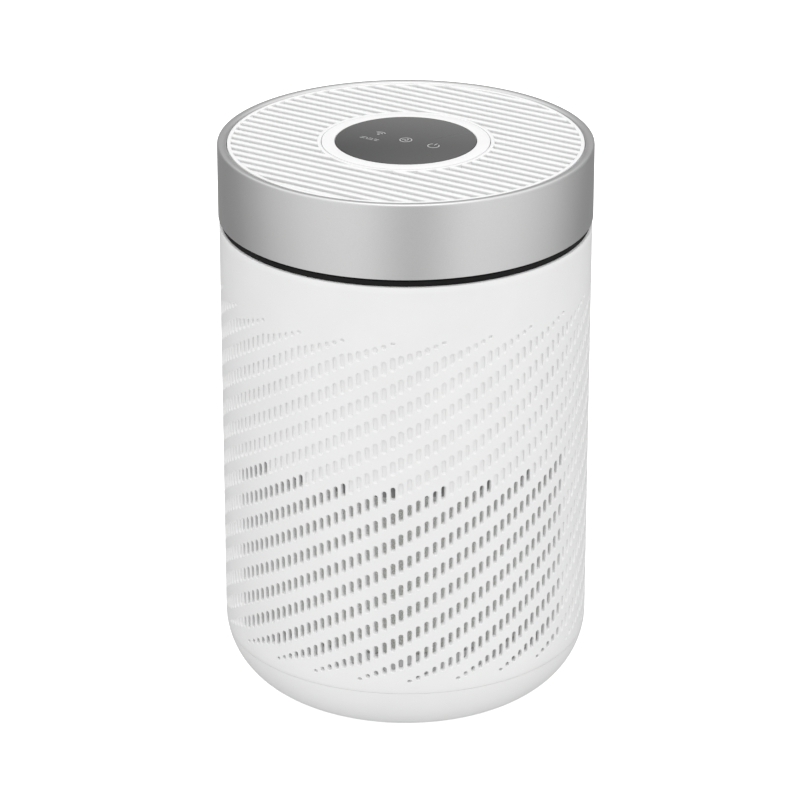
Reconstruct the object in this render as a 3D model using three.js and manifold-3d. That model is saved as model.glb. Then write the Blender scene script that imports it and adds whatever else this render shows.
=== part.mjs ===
// A round 360-degree air purifier: air enters through the slotted side, passes a pleated
// cylinder filter in the lower half, and a fan blows it out of the grille on top.
// Millimetres, +Z up, origin on the floor under the centre; -Y is the side the panel reads from.
import * as THREE from "three";
import { mergeVertices } from "three/addons/utils/BufferGeometryUtils.js";
import Module from "manifold-3d";

const wasm = await Module();
wasm.setup();

// ---- driving dimensions -------------------------------------------------------------
const GAP = 0.3; // between pieces that rest on or beside each other
const FINE = 36; // sides of a large round piece
const ROUND = 28; // sides of an inner round piece
const SMALL = 12; // sides of a small round piece

const RING_RADIUS = 110; // the silver ring, the widest part
const BODY_RADIUS = 109.5;
const WALL = 2.5;
const BORE = BODY_RADIUS - WALL; // inside of the outer shell
const FOOT_LIFT = 1.5; // the rubber feet stand this far below the base
const BASE_FILLET = 43.4; // big rounded bottom edge
const SEAM_Z = 37.6; // parting line between the base cover and the shell
const SHELL_TOP = 294.2;
const RING_BOTTOM = 298.9;
const TOP_Z = 344;

const FLAT_RADIUS = BODY_RADIUS - BASE_FILLET; // flat part of the bottom
const FILLET_Z = FOOT_LIFT + BASE_FILLET; // where the rounded edge meets the straight side
const FLOOR_THICK = 3;

// Slots: the shell is moulded in six sectors, each 60 degrees wide, and each has its
// slots on a slanted lattice: every column sits one step higher, and after six columns
// the pattern repeats one row lower. Four of the sectors are open.
const SECTORS = 6;
const OPEN_SECTORS = [0, 1, 3, 4];
const SLOT_COLUMNS = 24;
const SLOT_GROUP = 6; // columns in one slanted run
const SLOT_PITCH = 4.62; // between columns, across the pull direction of the sector
const SLOT_WIDTH = 2.6;
const SLOT_HEIGHT = 8.2;
const ROW_PITCH = 16.14;
const SLOT_STEP = ROW_PITCH / SLOT_GROUP;
const OPEN_ROWS = 7;
const LOWEST_SLOT = 52.2; // bottom of the lowest full slot in the first column
const END_SLOT_SHRINK = 1.1; // how much each slot of the lowest run is shorter than the next

// Silver ring and top
const RING_WALL = 2.7;
const RIM_INNER = 104.6;
const RIM_ROUND = 1.4;
const GRILLE_RADIUS = 104.2;
const GRILLE_TOP = 343.3;
const GRILLE_THICK = 5;
const GRILLE_BORDER = 2.3;
const SLAT_PITCH = 7.6;
const SLAT_WIDTH = 3.4;
const GUARD_TOP = 333.5; // second layer of bars, under gaps of the first
const GUARD_PITCH = 3 * SLAT_PITCH;
const GUARD_THICK = 3;
const BEZEL_RADIUS = 49.2;
const BEZEL_TOP = 343.5;
const GLASS_RADIUS = 41.2;
const GLASS_TOP = 343.7;
const GLASS_THICK = 2.6;

// Bayonet between base cover and housing
const LUGS = 3;
const LUG_DEGREES = 12;
const TWIST_DEGREES = 18;
const COLLAR_OUTER = BORE - GAP;
const COLLAR_INNER = 103.4;
const COLLAR_BOTTOM = 40;
const COLLAR_TOP = 62;
const LUG_BOTTOM = 44;
const LUG_TOP = 50;
const SPIGOT_OUTER = 102.5;
const SPIGOT_INNER = 99.5;
const SPIGOT_BOTTOM = 22;
const SPIGOT_TOP = 54;
const LUG_RADIUS = 106.2;
const NOTCH_SPARE = 1.5; // degrees at each end of a lug's travel

// Filter
const FILTER_RADIUS = 95;
const FILTER_BOTTOM = 20;
const FILTER_TOP = 165;
const CAP_THICK = 5;
const CORE_INNER = 53;
const CORE_OUTER = 57;
const PLEATS = 36;
const PLEAT_INNER = 58;
const PLEAT_OUTER = 93;
const PLEAT_THICK = 2.4;
const NET_INNER = 93.4;
const NET_OUTER = 94.6;
const SEAL_INNER = 62;
const SEAL_OUTER = 74;
const SEAL_TOP = 170;
const TAB_LENGTH = 64;
const TAB_WIDTH = 16;
const TAB_FOLD = 8; // length of each folded end of the pull tab

// Fan
const DECK_Z = SEAL_TOP + GAP; // underside of the plate between filter and fan
const DECK_THICK = 3;
const EYE_RADIUS = 57; // outside of the inlet lip
const LIP_TOP = 181;
const DUCT_OUTER = 97.5;
const DUCT_INNER = 95;
const DUCT_TOP = 327;
const IMPELLER_RADIUS = 80;
const IMPELLER_BOTTOM = 183;
const IMPELLER_TOP = 232;
const BLADES = 9;
const SHAFT_RADIUS = 4;
const BEARING_CLEARANCE = 0.05;
const MOTOR_RADIUS = 30;
const MOTOR_BOTTOM = 238;
const MOTOR_TOP = 262;
const STATOR_VANES = 7;

// Power inlet at the rear, in the plain band above the slots
const INLET_Z = 275;
const INLET_WIDTH = 24;
const INLET_HEIGHT = 13;
const INLET_DEPTH = 11.4;
const INLET_FACE_Y = 109.1;
const SOCKET_WIDTH = 17;
const SOCKET_HEIGHT = 8.4;
const SOCKET_DEPTH = 9;
const PIN_SIZE = 2.4;
const PIN_LENGTH = 8;
const PIN_X = 4.3;

// ---- materials ----------------------------------------------------------------------
function finish(color, roughness, metalness = 0) {
  return new THREE.MeshStandardMaterial({ color, roughness, metalness });
}

const WHITE = finish(0xeeeeee, 0.42);
const SILVER = finish(0xb4b5b7, 0.34, 0.85);
const BLACK = finish(0x1e1e1e, 0.5);
const GLASS = finish(0x3c3d40, 0.08);
const GREY = finish(0xc9cacc, 0.5);
const RUBBER = finish(0x3a3a3a, 0.85);
const PAPER = finish(0xf3f2ea, 0.9);
const CARBON = finish(0x2a2b2c, 0.85);
const NET = finish(0x8a908c, 0.8);
const RIBBON = finish(0x3d6f9e, 0.8);
const BOARD = finish(0x1f5f3f, 0.5);
const STEEL = finish(0xb8b8b8, 0.3, 1);
const COPPER = finish(0xb4662f, 0.4, 1);

// ---- geometry helpers ---------------------------------------------------------------
const radians = THREE.MathUtils.degToRad;

// A closed three.js geometry as a manifold-3d solid.
function solid(geometry) {
  const bare = geometry.clone();
  bare.deleteAttribute("normal");
  bare.deleteAttribute("uv");
  const merged = mergeVertices(bare, 1e-4);
  return new wasm.Manifold(
    new wasm.Mesh({
      numProp: 3,
      vertProperties: merged.attributes.position.array,
      triVerts: new Uint32Array(merged.index.array),
    }),
  );
}

// A manifold-3d solid as a three.js geometry.
function geometryOf(made) {
  const mesh = made.getMesh();
  const geometry = new THREE.BufferGeometry();
  geometry.setAttribute("position", new THREE.BufferAttribute(mesh.vertProperties, 3));
  geometry.setIndex(new THREE.BufferAttribute(mesh.triVerts, 1));
  geometry.computeVertexNormals();
  return geometry;
}

// Turns an outline of [radius, z] points round the Z axis. The outline runs
// anticlockwise, and closes on itself unless it starts and ends on the axis.
function turned(outline, sides = ROUND) {
  const points = outline.map(([r, z]) => new THREE.Vector2(r, z));
  const onAxis = outline[0][0] === 0 && outline.at(-1)[0] === 0;
  if (!onAxis) points.push(points[0].clone());
  return new THREE.LatheGeometry(points, sides).rotateX(Math.PI / 2);
}

function tube(inner, outer, bottom, top, sides = ROUND) {
  return turned([[inner, bottom], [outer, bottom], [outer, top], [inner, top]], sides);
}

function disc(radius, bottom, top, sides = ROUND) {
  return turned([[0, bottom], [radius, bottom], [radius, top], [0, top]], sides);
}

function block(sizeX, sizeY, bottom, top, x = 0, y = 0) {
  const box = new THREE.BoxGeometry(sizeX, sizeY, top - bottom);
  return box.translate(x, y, (bottom + top) / 2);
}

// An outline of [x, y] points pulled straight up from bottom to top.
function prism(outline, bottom, top) {
  const shape = new THREE.Shape(outline.map(([x, y]) => new THREE.Vector2(x, y)));
  const pulled = new THREE.ExtrudeGeometry(shape, { depth: top - bottom, bevelEnabled: false });
  return pulled.translate(0, 0, bottom);
}

// A piece of a ring between two angles, in degrees from +X.
function sector(inner, outer, from, to, bottom, top, steps = 6) {
  const arc = (radius, a, b) =>
    Array.from({ length: steps + 1 }, (_, i) => {
      const angle = radians(a + ((b - a) * i) / steps);
      return [radius * Math.cos(angle), radius * Math.sin(angle)];
    });
  return prism([...arc(outer, from, to), ...arc(inner, to, from)], bottom, top);
}

// Angle, in degrees, at which an arc about the fillet's centre passes a height.
function filletAngle(radius, z) {
  return -THREE.MathUtils.radToDeg(Math.asin((FILLET_Z - z) / radius));
}

// Points of an arc in a [radius, z] outline.
function arc(centreR, centreZ, radius, from, to, steps) {
  return Array.from({ length: steps + 1 }, (_, i) => {
    const angle = radians(from + ((to - from) * i) / steps);
    return [centreR + radius * Math.cos(angle), centreZ + radius * Math.sin(angle)];
  });
}

function joined(geometries) {
  return geometries.map(solid).reduce((all, next) => all.add(next));
}

function cut(made, tools) {
  return tools.map(solid).reduce((rest, tool) => rest.subtract(tool), made);
}

const purifier = new THREE.Group();

function place(group, name, shape, material) {
  const geometry = shape.isBufferGeometry ? shape : geometryOf(shape);
  const mesh = new THREE.Mesh(geometry, material);
  mesh.name = name;
  group.add(mesh);
  return mesh;
}

function aroundZ(count, make, startDegrees = 0) {
  for (let i = 0; i < count; i++) make(i, startDegrees + (360 * i) / count);
}

function onCircle(mesh, radius, degrees) {
  mesh.position.set(radius * Math.cos(radians(degrees)), radius * Math.sin(radians(degrees)), 0);
}

// ---- base: dished cover with bayonet lugs, on four feet ------------------------------
const base = new THREE.Group();
const FOOT_RADIUS = 8;
const FOOT_CIRCLE = 52;
const FOOT_SINK = 1.4; // the feet sit this deep in pockets of the cover
const FEET = 4;
const FIRST_FOOT = 45;
const SEAT_RADIUS = 70;
const SEAT_WIDTH = 3;

function baseCover() {
  const inside = BASE_FILLET - FLOOR_THICK;
  const dish = turned(
    [
      [0, FOOT_LIFT],
      ...arc(FLAT_RADIUS, FILLET_Z, BASE_FILLET, -90, filletAngle(BASE_FILLET, SEAM_Z), 6),
      ...arc(FLAT_RADIUS, FILLET_Z, inside, filletAngle(inside, SEAM_Z), -90, 3),
      [0, FOOT_LIFT + FLOOR_THICK],
    ],
    FINE,
  );
  const spigot = tube(SPIGOT_INNER, SPIGOT_OUTER, SPIGOT_BOTTOM, SPIGOT_TOP, FINE);
  const seat = tube(SEAT_RADIUS, SEAT_RADIUS + SEAT_WIDTH, FOOT_LIFT + 2, FILTER_BOTTOM - GAP);
  const lugs = [];
  aroundZ(LUGS, (_, angle) => {
    const half = LUG_DEGREES / 2;
    lugs.push(sector(SPIGOT_OUTER - 1, LUG_RADIUS, angle - half, angle + half, LUG_BOTTOM, LUG_TOP, 2));
  });
  const pockets = [];
  aroundZ(FEET, (_, angle) => {
    const pocket = disc(FOOT_RADIUS + GAP, 0, FOOT_LIFT + FOOT_SINK, SMALL);
    const x = FOOT_CIRCLE * Math.cos(radians(angle));
    const y = FOOT_CIRCLE * Math.sin(radians(angle));
    pockets.push(pocket.translate(x, y, 0));
  }, FIRST_FOOT);
  return cut(joined([dish, spigot, seat, ...lugs]), pockets);
}

place(base, "base_cover", baseCover(), WHITE);
aroundZ(FEET, (i, angle) => {
  const top = FOOT_LIFT + FOOT_SINK - GAP;
  const edge = 0.6;
  const outline = [[0, 0], [FOOT_RADIUS - edge, 0], [FOOT_RADIUS, edge], [FOOT_RADIUS, top], [0, top]];
  const foot = turned(outline, SMALL);
  onCircle(place(base, `foot_${i + 1}`, foot, RUBBER), FOOT_CIRCLE, angle);
}, FIRST_FOOT);
purifier.add(base);

// ---- filter cartridge ---------------------------------------------------------------
const filter = new THREE.Group();
const MEDIA_BOTTOM = FILTER_BOTTOM + CAP_THICK + GAP;
const MEDIA_TOP = FILTER_TOP - CAP_THICK - GAP;

// A closed zigzag band: the outer outline and the inner one are each a star.
function pleatedMedia() {
  const star = (inner, outer) =>
    Array.from({ length: 2 * PLEATS }, (_, i) => {
      const angle = (Math.PI * i) / PLEATS;
      const radius = i % 2 ? inner : outer;
      return [radius * Math.cos(angle), radius * Math.sin(angle)];
    });
  const outline = (points) => points.map(([x, y]) => new THREE.Vector2(x, y));
  const shape = new THREE.Shape(outline(star(PLEAT_INNER + PLEAT_THICK, PLEAT_OUTER)));
  const hole = outline(star(PLEAT_INNER, PLEAT_OUTER - 4 * PLEAT_THICK));
  shape.holes.push(new THREE.Path(hole));
  const depth = MEDIA_TOP - MEDIA_BOTTOM;
  return new THREE.ExtrudeGeometry(shape, { depth, bevelEnabled: false }).translate(0, 0, MEDIA_BOTTOM);
}

function bottomCap() {
  const rim = 1.2;
  return turned([
    [0, FILTER_BOTTOM + rim],
    [SEAT_RADIUS - 4, FILTER_BOTTOM + rim],
    [SEAT_RADIUS - 2, FILTER_BOTTOM],
    [FILTER_RADIUS - 1, FILTER_BOTTOM],
    [FILTER_RADIUS, FILTER_BOTTOM + 1],
    [FILTER_RADIUS, FILTER_BOTTOM + CAP_THICK],
    [0, FILTER_BOTTOM + CAP_THICK],
  ], FINE);
}

function topCap() {
  return turned([
    [CORE_INNER, FILTER_TOP - CAP_THICK],
    [FILTER_RADIUS, FILTER_TOP - CAP_THICK],
    [FILTER_RADIUS, FILTER_TOP - 1],
    [FILTER_RADIUS - 1, FILTER_TOP],
    [CORE_INNER, FILTER_TOP],
  ], FINE);
}

// A ribbon to pull the cartridge out by, folded flat in the recess of the bottom cap.
function pullTab() {
  const top = FILTER_BOTTOM + 0.8;
  const foldX = (TAB_LENGTH - TAB_FOLD) / 2;
  const fold = (x) => block(TAB_FOLD, TAB_WIDTH, top - 2, top - 0.7, x);
  return joined([block(TAB_LENGTH, TAB_WIDTH, top - 1, top), fold(-foldX), fold(foldX)]);
}

place(filter, "filter_bottom_cap", bottomCap(), GREY);
place(filter, "filter_top_cap", topCap(), GREY);
place(filter, "filter_media", pleatedMedia(), PAPER);
place(filter, "carbon_core", tube(CORE_INNER, CORE_OUTER, MEDIA_BOTTOM, MEDIA_TOP), CARBON);
place(filter, "prefilter_net", tube(NET_INNER, NET_OUTER, MEDIA_BOTTOM, MEDIA_TOP, FINE), NET);
place(filter, "filter_seal", tube(SEAL_INNER, SEAL_OUTER, FILTER_TOP + GAP, SEAL_TOP), BLACK);
place(filter, "filter_pull_tab", pullTab(), RIBBON);
purifier.add(filter);

// ---- housing: outer shell -----------------------------------------------------------
const housing = new THREE.Group();

// One slanted window for each run of six slots, seen along the pull direction: x runs
// across the sector, z up.
function slotWindow(group, bottomLeft, heightLeft, rise, heightRight) {
  const firstColumn = SLOT_GROUP * group - (SLOT_COLUMNS - 1) / 2;
  const left = firstColumn * SLOT_PITCH - SLOT_WIDTH / 2;
  const right = left + (SLOT_GROUP - 1) * SLOT_PITCH + SLOT_WIDTH;
  const outline = [
    [left, bottomLeft],
    [right, bottomLeft + rise],
    [right, bottomLeft + rise + heightRight],
    [left, bottomLeft + heightLeft],
  ];
  return prism(outline, BORE * Math.cos(radians(30)) - 6, BODY_RADIUS + 2);
}

function shellWindows(sectorIndex) {
  const windows = [];
  const rise = (SLOT_GROUP - 1) * SLOT_STEP;
  for (let group = 0; group < SLOT_COLUMNS / SLOT_GROUP; group++) {
    for (let row = 0; row < OPEN_ROWS; row++) {
      const bottom = LOWEST_SLOT + row * ROW_PITCH;
      windows.push(slotWindow(group, bottom, SLOT_HEIGHT, rise, SLOT_HEIGHT));
    }
    const endTop = LOWEST_SLOT - ROW_PITCH + SLOT_HEIGHT + SLOT_STEP;
    const dot = SLOT_HEIGHT - (SLOT_GROUP - 1) * END_SLOT_SHRINK;
    const endRise = (SLOT_GROUP - 1) * (SLOT_STEP - END_SLOT_SHRINK);
    windows.push(slotWindow(group, endTop - dot, dot, endRise, SLOT_HEIGHT));
  }
  const turn = radians((360 / SECTORS) * sectorIndex);
  return windows.map((w) => w.rotateX(Math.PI / 2).rotateZ(turn));
}

function inletHole() {
  const width = INLET_WIDTH + 2 * GAP;
  const half = INLET_HEIGHT / 2 + GAP;
  return block(width, 20, INLET_Z - half, INLET_Z + half, 0, BORE + 2);
}

function outerShell() {
  const lowest = filletAngle(BASE_FILLET, SEAM_Z + GAP);
  const wall = turned(
    [
      ...arc(FLAT_RADIUS, FILLET_Z, BASE_FILLET, lowest, 0, 2),
      [BODY_RADIUS, SHELL_TOP - 0.8],
      [BODY_RADIUS - 0.8, SHELL_TOP],
      [BORE, SHELL_TOP],
      [BORE, SEAM_Z + GAP],
    ],
    FINE,
  );
  return cut(solid(wall), [...OPEN_SECTORS.flatMap(shellWindows), inletHole()]);
}

// The collar inside the shell: the lugs of the base cover turn in its open notches.
function lockCollar() {
  const collar = solid(tube(COLLAR_INNER, COLLAR_OUTER, COLLAR_BOTTOM, COLLAR_TOP, FINE));
  const notches = [];
  aroundZ(LUGS, (_, angle) => {
    const from = angle - LUG_DEGREES / 2 - TWIST_DEGREES - NOTCH_SPARE;
    const to = angle + LUG_DEGREES / 2 + NOTCH_SPARE;
    notches.push(sector(COLLAR_INNER - 2, COLLAR_OUTER + 2, from, to, COLLAR_BOTTOM - 1, LUG_TOP + 1, 5));
  });
  return cut(collar, notches);
}

place(housing, "outer_shell", outerShell(), WHITE);
place(housing, "lock_collar", lockCollar(), GREY);

// ---- housing: fan deck, inlet guard, duct -------------------------------------------
const DECK_TOP = DECK_Z + DECK_THICK;
const DUCT_BOTTOM = DECK_TOP + GAP;
const FLANGE_RADIUS = 105;
const DECK_SCREWS = 4;
const DECK_SCREW_CIRCLE = 101;
const FIRST_DECK_SCREW = 30;
const SCREW_HOLE = 1.8;
const GUARD_RINGS = [17, 35]; // radii
const GUARD_BAR = 1.6;

function screwHoles(count, circle, first, bottom, top) {
  const holes = [];
  aroundZ(count, (_, angle) => {
    const x = circle * Math.cos(radians(angle));
    const y = circle * Math.sin(radians(angle));
    holes.push(disc(SCREW_HOLE, bottom, top, 6).translate(x, y, 0));
  }, first);
  return holes;
}

function fanDeck() {
  const deck = turned(
    [
      [EYE_RADIUS - 3, LIP_TOP],
      [EYE_RADIUS - 3, DECK_Z + 5],
      [EYE_RADIUS, DECK_Z],
      [COLLAR_OUTER, DECK_Z],
      [COLLAR_OUTER, DECK_TOP],
      [EYE_RADIUS + 4, DECK_TOP],
      [EYE_RADIUS, DECK_TOP + 3],
      [EYE_RADIUS, LIP_TOP],
    ],
    FINE,
  );
  const holes = screwHoles(DECK_SCREWS, DECK_SCREW_CIRCLE, FIRST_DECK_SCREW, DECK_Z - 1, DECK_TOP + 1);
  return cut(solid(deck), holes);
}

// Finger guard in the fan's eye: rings on spokes.
function inletGuard() {
  const bottom = DECK_Z + 6;
  const top = bottom + 2;
  const outer = EYE_RADIUS - 3 - GAP;
  const rings = GUARD_RINGS.map((r) => tube(r, r + GUARD_BAR, bottom, top, SMALL));
  const spokes = [0, 60, 120].map((a) =>
    block(2 * (outer - 1), GUARD_BAR, bottom, top).rotateZ(radians(a)),
  );
  return joined([tube(outer - 2, outer, bottom, top), ...rings, ...spokes]);
}

function fanDuct() {
  const wall = turned(
    [
      [DUCT_INNER, DUCT_BOTTOM],
      [FLANGE_RADIUS, DUCT_BOTTOM],
      [FLANGE_RADIUS, DUCT_BOTTOM + DECK_THICK],
      [DUCT_OUTER, DUCT_BOTTOM + DECK_THICK],
      [DUCT_OUTER, DUCT_TOP],
      [DUCT_INNER, DUCT_TOP],
    ],
    FINE,
  );
  const holes = screwHoles(DECK_SCREWS, DECK_SCREW_CIRCLE, FIRST_DECK_SCREW, DUCT_BOTTOM - 1, DUCT_BOTTOM + 4);
  return cut(solid(wall), holes);
}

// A pan-head screw, its head below (side -1) or above (side 1) the seat at z = 0.
function screw(side, shank) {
  const head = 1.7;
  const outline = [[0, -shank], [1.4, -shank], [1.4, 0], [3, 0], [2.6, head], [0, head]];
  const made = turned(outline, 6);
  return side > 0 ? made : made.rotateX(Math.PI);
}

place(housing, "fan_deck", fanDeck(), WHITE);
place(housing, "inlet_guard", inletGuard(), GREY);
place(housing, "fan_duct", fanDuct(), WHITE);
aroundZ(DECK_SCREWS, (i, angle) => {
  const mesh = place(housing, `deck_screw_${i + 1}`, screw(-1, 6), STEEL);
  onCircle(mesh, DECK_SCREW_CIRCLE, angle);
  mesh.position.z = DECK_Z - GAP;
}, FIRST_DECK_SCREW);

// ---- housing: motor and its mount ---------------------------------------------------
const MOTOR_WALL = 2;
const BEARING_RADIUS = 10.7;
const BEARING_SEAT = 11;
const BEARING_HEIGHT = 3.6;
const HUB_INNER = MOTOR_RADIUS + GAP;
const HUB_OUTER = HUB_INNER + 2.5;
const HUB_TOP = MOTOR_TOP + GAP + 2.5;
const MOTOR_SCREWS = 3;
const MOTOR_SCREW_CIRCLE = 20;
const VANE_BOTTOM = 243;
const VANE_TOP = 262;
const VANE_THICK = 1.8;
const VANE_TILT = 22;
const STATOR_INNER = 15;
const MAGNET_RADIUS = 14;
const CORE_INSET = 6; // of stator and magnet from the ends of the can
const BEARING_PROUD = 0.8; // a bearing stands this far out of the can

function motorCan() {
  const can = turned([
    [BEARING_SEAT, MOTOR_BOTTOM],
    [MOTOR_RADIUS, MOTOR_BOTTOM],
    [MOTOR_RADIUS, MOTOR_TOP],
    [BEARING_SEAT, MOTOR_TOP],
    [BEARING_SEAT, MOTOR_TOP - MOTOR_WALL],
    [MOTOR_RADIUS - MOTOR_WALL, MOTOR_TOP - MOTOR_WALL],
    [MOTOR_RADIUS - MOTOR_WALL, MOTOR_BOTTOM + MOTOR_WALL],
    [BEARING_SEAT, MOTOR_BOTTOM + MOTOR_WALL],
  ]);
  return cut(solid(can), screwHoles(MOTOR_SCREWS, MOTOR_SCREW_CIRCLE, 0, MOTOR_TOP - 3, MOTOR_TOP + 1));
}

// Stator vanes straighten the air and carry the motor in the middle of the duct.
function vaneFrame() {
  const hub = turned([
    [HUB_INNER, VANE_BOTTOM - 2],
    [HUB_OUTER, VANE_BOTTOM - 2],
    [HUB_OUTER, HUB_TOP],
    [BEARING_SEAT, HUB_TOP],
    [BEARING_SEAT, MOTOR_TOP + GAP],
    [HUB_INNER, MOTOR_TOP + GAP],
  ]);
  const outer = tube(DUCT_INNER - 3, DUCT_INNER - GAP, VANE_BOTTOM, VANE_TOP, FINE);
  const vanes = [];
  const length = DUCT_INNER - 2 - HUB_OUTER + 2;
  aroundZ(STATOR_VANES, (_, angle) => {
    const vane = new THREE.BoxGeometry(length, VANE_THICK, VANE_TOP - VANE_BOTTOM - 4);
    vane.rotateX(radians(VANE_TILT));
    vane.translate(HUB_OUTER - 1 + length / 2, 0, (VANE_BOTTOM + VANE_TOP) / 2);
    vanes.push(vane.rotateZ(radians(angle)));
  });
  const holes = screwHoles(MOTOR_SCREWS, MOTOR_SCREW_CIRCLE, 0, MOTOR_TOP, HUB_TOP + 1);
  return cut(joined([hub, outer, ...vanes]), holes);
}

function bearing(bottom) {
  return tube(SHAFT_RADIUS + BEARING_CLEARANCE, BEARING_RADIUS, bottom, bottom + BEARING_HEIGHT, 20);
}

place(housing, "motor_can", motorCan(), STEEL);
const statorOuter = MOTOR_RADIUS - MOTOR_WALL - GAP;
const stator = tube(STATOR_INNER, statorOuter, MOTOR_BOTTOM + CORE_INSET, MOTOR_TOP - CORE_INSET);
place(housing, "stator_core", stator, COPPER);
place(housing, "lower_bearing", bearing(MOTOR_BOTTOM - BEARING_PROUD), STEEL);
place(housing, "upper_bearing", bearing(MOTOR_TOP - BEARING_HEIGHT + BEARING_PROUD), STEEL);
place(housing, "vane_frame", vaneFrame(), WHITE);
aroundZ(MOTOR_SCREWS, (i, angle) => {
  const mesh = place(housing, `motor_screw_${i + 1}`, screw(1, 4), STEEL);
  onCircle(mesh, MOTOR_SCREW_CIRCLE, angle);
  mesh.position.z = HUB_TOP + GAP;
});

// ---- rotor --------------------------------------------------------------------------
const rotor = new THREE.Group();
const BOSS_RADIUS = 12;
const NUT_RADIUS = 8;
const BOSS_BOTTOM = 214;
const SHROUD_INNER = 58.5;
const SHROUD_RISE = 6; // from the eye out to the rim
const SHROUD_EDGE = 2;
const BACK_THICK = 2;
const DISH_RADIUS = 30; // where the back plate starts to rise to the boss
const BLADE_INNER = 44;
const BLADE_OUTER = 79;
const BLADE_THICK = 1.6;
const BLADE_SWEEP = 38; // degrees a blade trails behind its root

// A backward-curved blade: an arc from the eye to the rim, seen from above.
function blade() {
  const steps = 4;
  const side = (offset) =>
    Array.from({ length: steps + 1 }, (_, i) => {
      const part = i / steps;
      const radius = BLADE_INNER + (BLADE_OUTER - BLADE_INNER) * part;
      const angle = -radians(BLADE_SWEEP) * part ** 0.8 + offset / radius;
      return [radius * Math.cos(angle), radius * Math.sin(angle)];
    });
  const outline = [...side(-BLADE_THICK / 2), ...side(BLADE_THICK / 2).reverse()];
  return prism(outline, IMPELLER_BOTTOM + 1, IMPELLER_TOP - 1);
}

function impeller() {
  const shroud = turned([
    [SHROUD_INNER, IMPELLER_BOTTOM + 2 * SHROUD_EDGE],
    [SHROUD_INNER, IMPELLER_BOTTOM],
    [SHROUD_INNER + SHROUD_EDGE, IMPELLER_BOTTOM],
    [IMPELLER_RADIUS, IMPELLER_BOTTOM + SHROUD_RISE],
    [IMPELLER_RADIUS, IMPELLER_BOTTOM + SHROUD_RISE + SHROUD_EDGE],
    [SHROUD_INNER + SHROUD_EDGE, IMPELLER_BOTTOM + 2 * SHROUD_EDGE],
  ]);
  const bore = SHAFT_RADIUS + GAP;
  const back = turned([
    [bore, BOSS_BOTTOM],
    [BOSS_RADIUS, BOSS_BOTTOM],
    [BOSS_RADIUS + 4, IMPELLER_TOP - 8],
    [DISH_RADIUS, IMPELLER_TOP - BACK_THICK],
    [IMPELLER_RADIUS, IMPELLER_TOP - BACK_THICK],
    [IMPELLER_RADIUS, IMPELLER_TOP],
    [bore, IMPELLER_TOP],
  ]);
  const blades = [];
  aroundZ(BLADES, (_, angle) => blades.push(blade().rotateZ(radians(angle))));
  return joined([back, shroud, ...blades]);
}

place(rotor, "impeller", impeller(), GREY);
place(rotor, "motor_shaft", disc(SHAFT_RADIUS, BOSS_BOTTOM - 8, MOTOR_TOP + 2, 20), STEEL);
const magnet = tube(SHAFT_RADIUS + GAP, MAGNET_RADIUS, MOTOR_BOTTOM + CORE_INSET, MOTOR_TOP - CORE_INSET, 20);
place(rotor, "rotor_magnet", magnet, BLACK);
const nutBore = (SHAFT_RADIUS + GAP) / Math.cos(radians(30)); // its flats clear the shaft
place(rotor, "impeller_nut", tube(nutBore, NUT_RADIUS, BOSS_BOTTOM - 6, BOSS_BOTTOM - GAP, 6), STEEL);
housing.add(rotor);

// ---- housing: chassis ring, groove gasket, silver ring -------------------------------
const CHASSIS_INNER = DUCT_OUTER + GAP;
const CHASSIS_OUTER = 103.7;
const CHASSIS_BOTTOM = 284;
const CHASSIS_FLANGE = 288;
const CHASSIS_TOP = 327;
const GASKET_INNER = 104;
const GASKET_OUTER = 108.1;
const RING_SHOULDER = 332;

function chassisRing() {
  return turned(
    [
      [CHASSIS_INNER, CHASSIS_BOTTOM],
      [COLLAR_OUTER, CHASSIS_BOTTOM],
      [COLLAR_OUTER, CHASSIS_FLANGE],
      [CHASSIS_OUTER, CHASSIS_FLANGE],
      [CHASSIS_OUTER, CHASSIS_TOP],
      [CHASSIS_INNER, CHASSIS_TOP],
    ],
    FINE,
  );
}

function silverRing() {
  const inner = RING_RADIUS - RING_WALL;
  return turned(
    [
      [inner, RING_BOTTOM],
      [RING_RADIUS - 0.5, RING_BOTTOM],
      [RING_RADIUS, RING_BOTTOM + 0.5],
      ...arc(RING_RADIUS - RIM_ROUND, TOP_Z - RIM_ROUND, RIM_ROUND, 0, 90, 3),
      [RIM_INNER + 0.8, TOP_Z - 0.5],
      [RIM_INNER, TOP_Z - 1.2],
      [RIM_INNER, RING_SHOULDER],
      [inner, RING_SHOULDER - RING_WALL],
    ],
    FINE,
  );
}

place(housing, "chassis_ring", chassisRing(), WHITE);
const gasket = tube(GASKET_INNER, GASKET_OUTER, SHELL_TOP + GAP, RING_BOTTOM - GAP, FINE);
place(housing, "groove_gasket", gasket, BLACK);
place(housing, "silver_ring", silverRing(), SILVER);

// ---- housing: outlet grille, guard and control panel ----------------------------------
// Straight bars across a ring, from its border to a smaller ring round the panel. The
// bars are a little thinner than the two rings.
function barredRing(outer, inner, border, bottom, top, pitch, width, shift) {
  const bars = [];
  const low = bottom + 0.4;
  const high = top - 0.2;
  for (let y = shift; y < outer - 2 * width; y += pitch) {
    bars.push(block(2 * outer, width, low, high, 0, y));
    if (y > 0) bars.push(block(2 * outer, width, low, high, 0, -y));
  }
  const rim = tube(outer - border, outer, bottom, top, FINE);
  const eye = tube(inner, inner + border, bottom, top, FINE);
  const field = tube(inner + border / 2, outer - border / 2, bottom, top);
  return joined(bars).intersect(solid(field)).add(solid(rim)).add(solid(eye));
}

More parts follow.
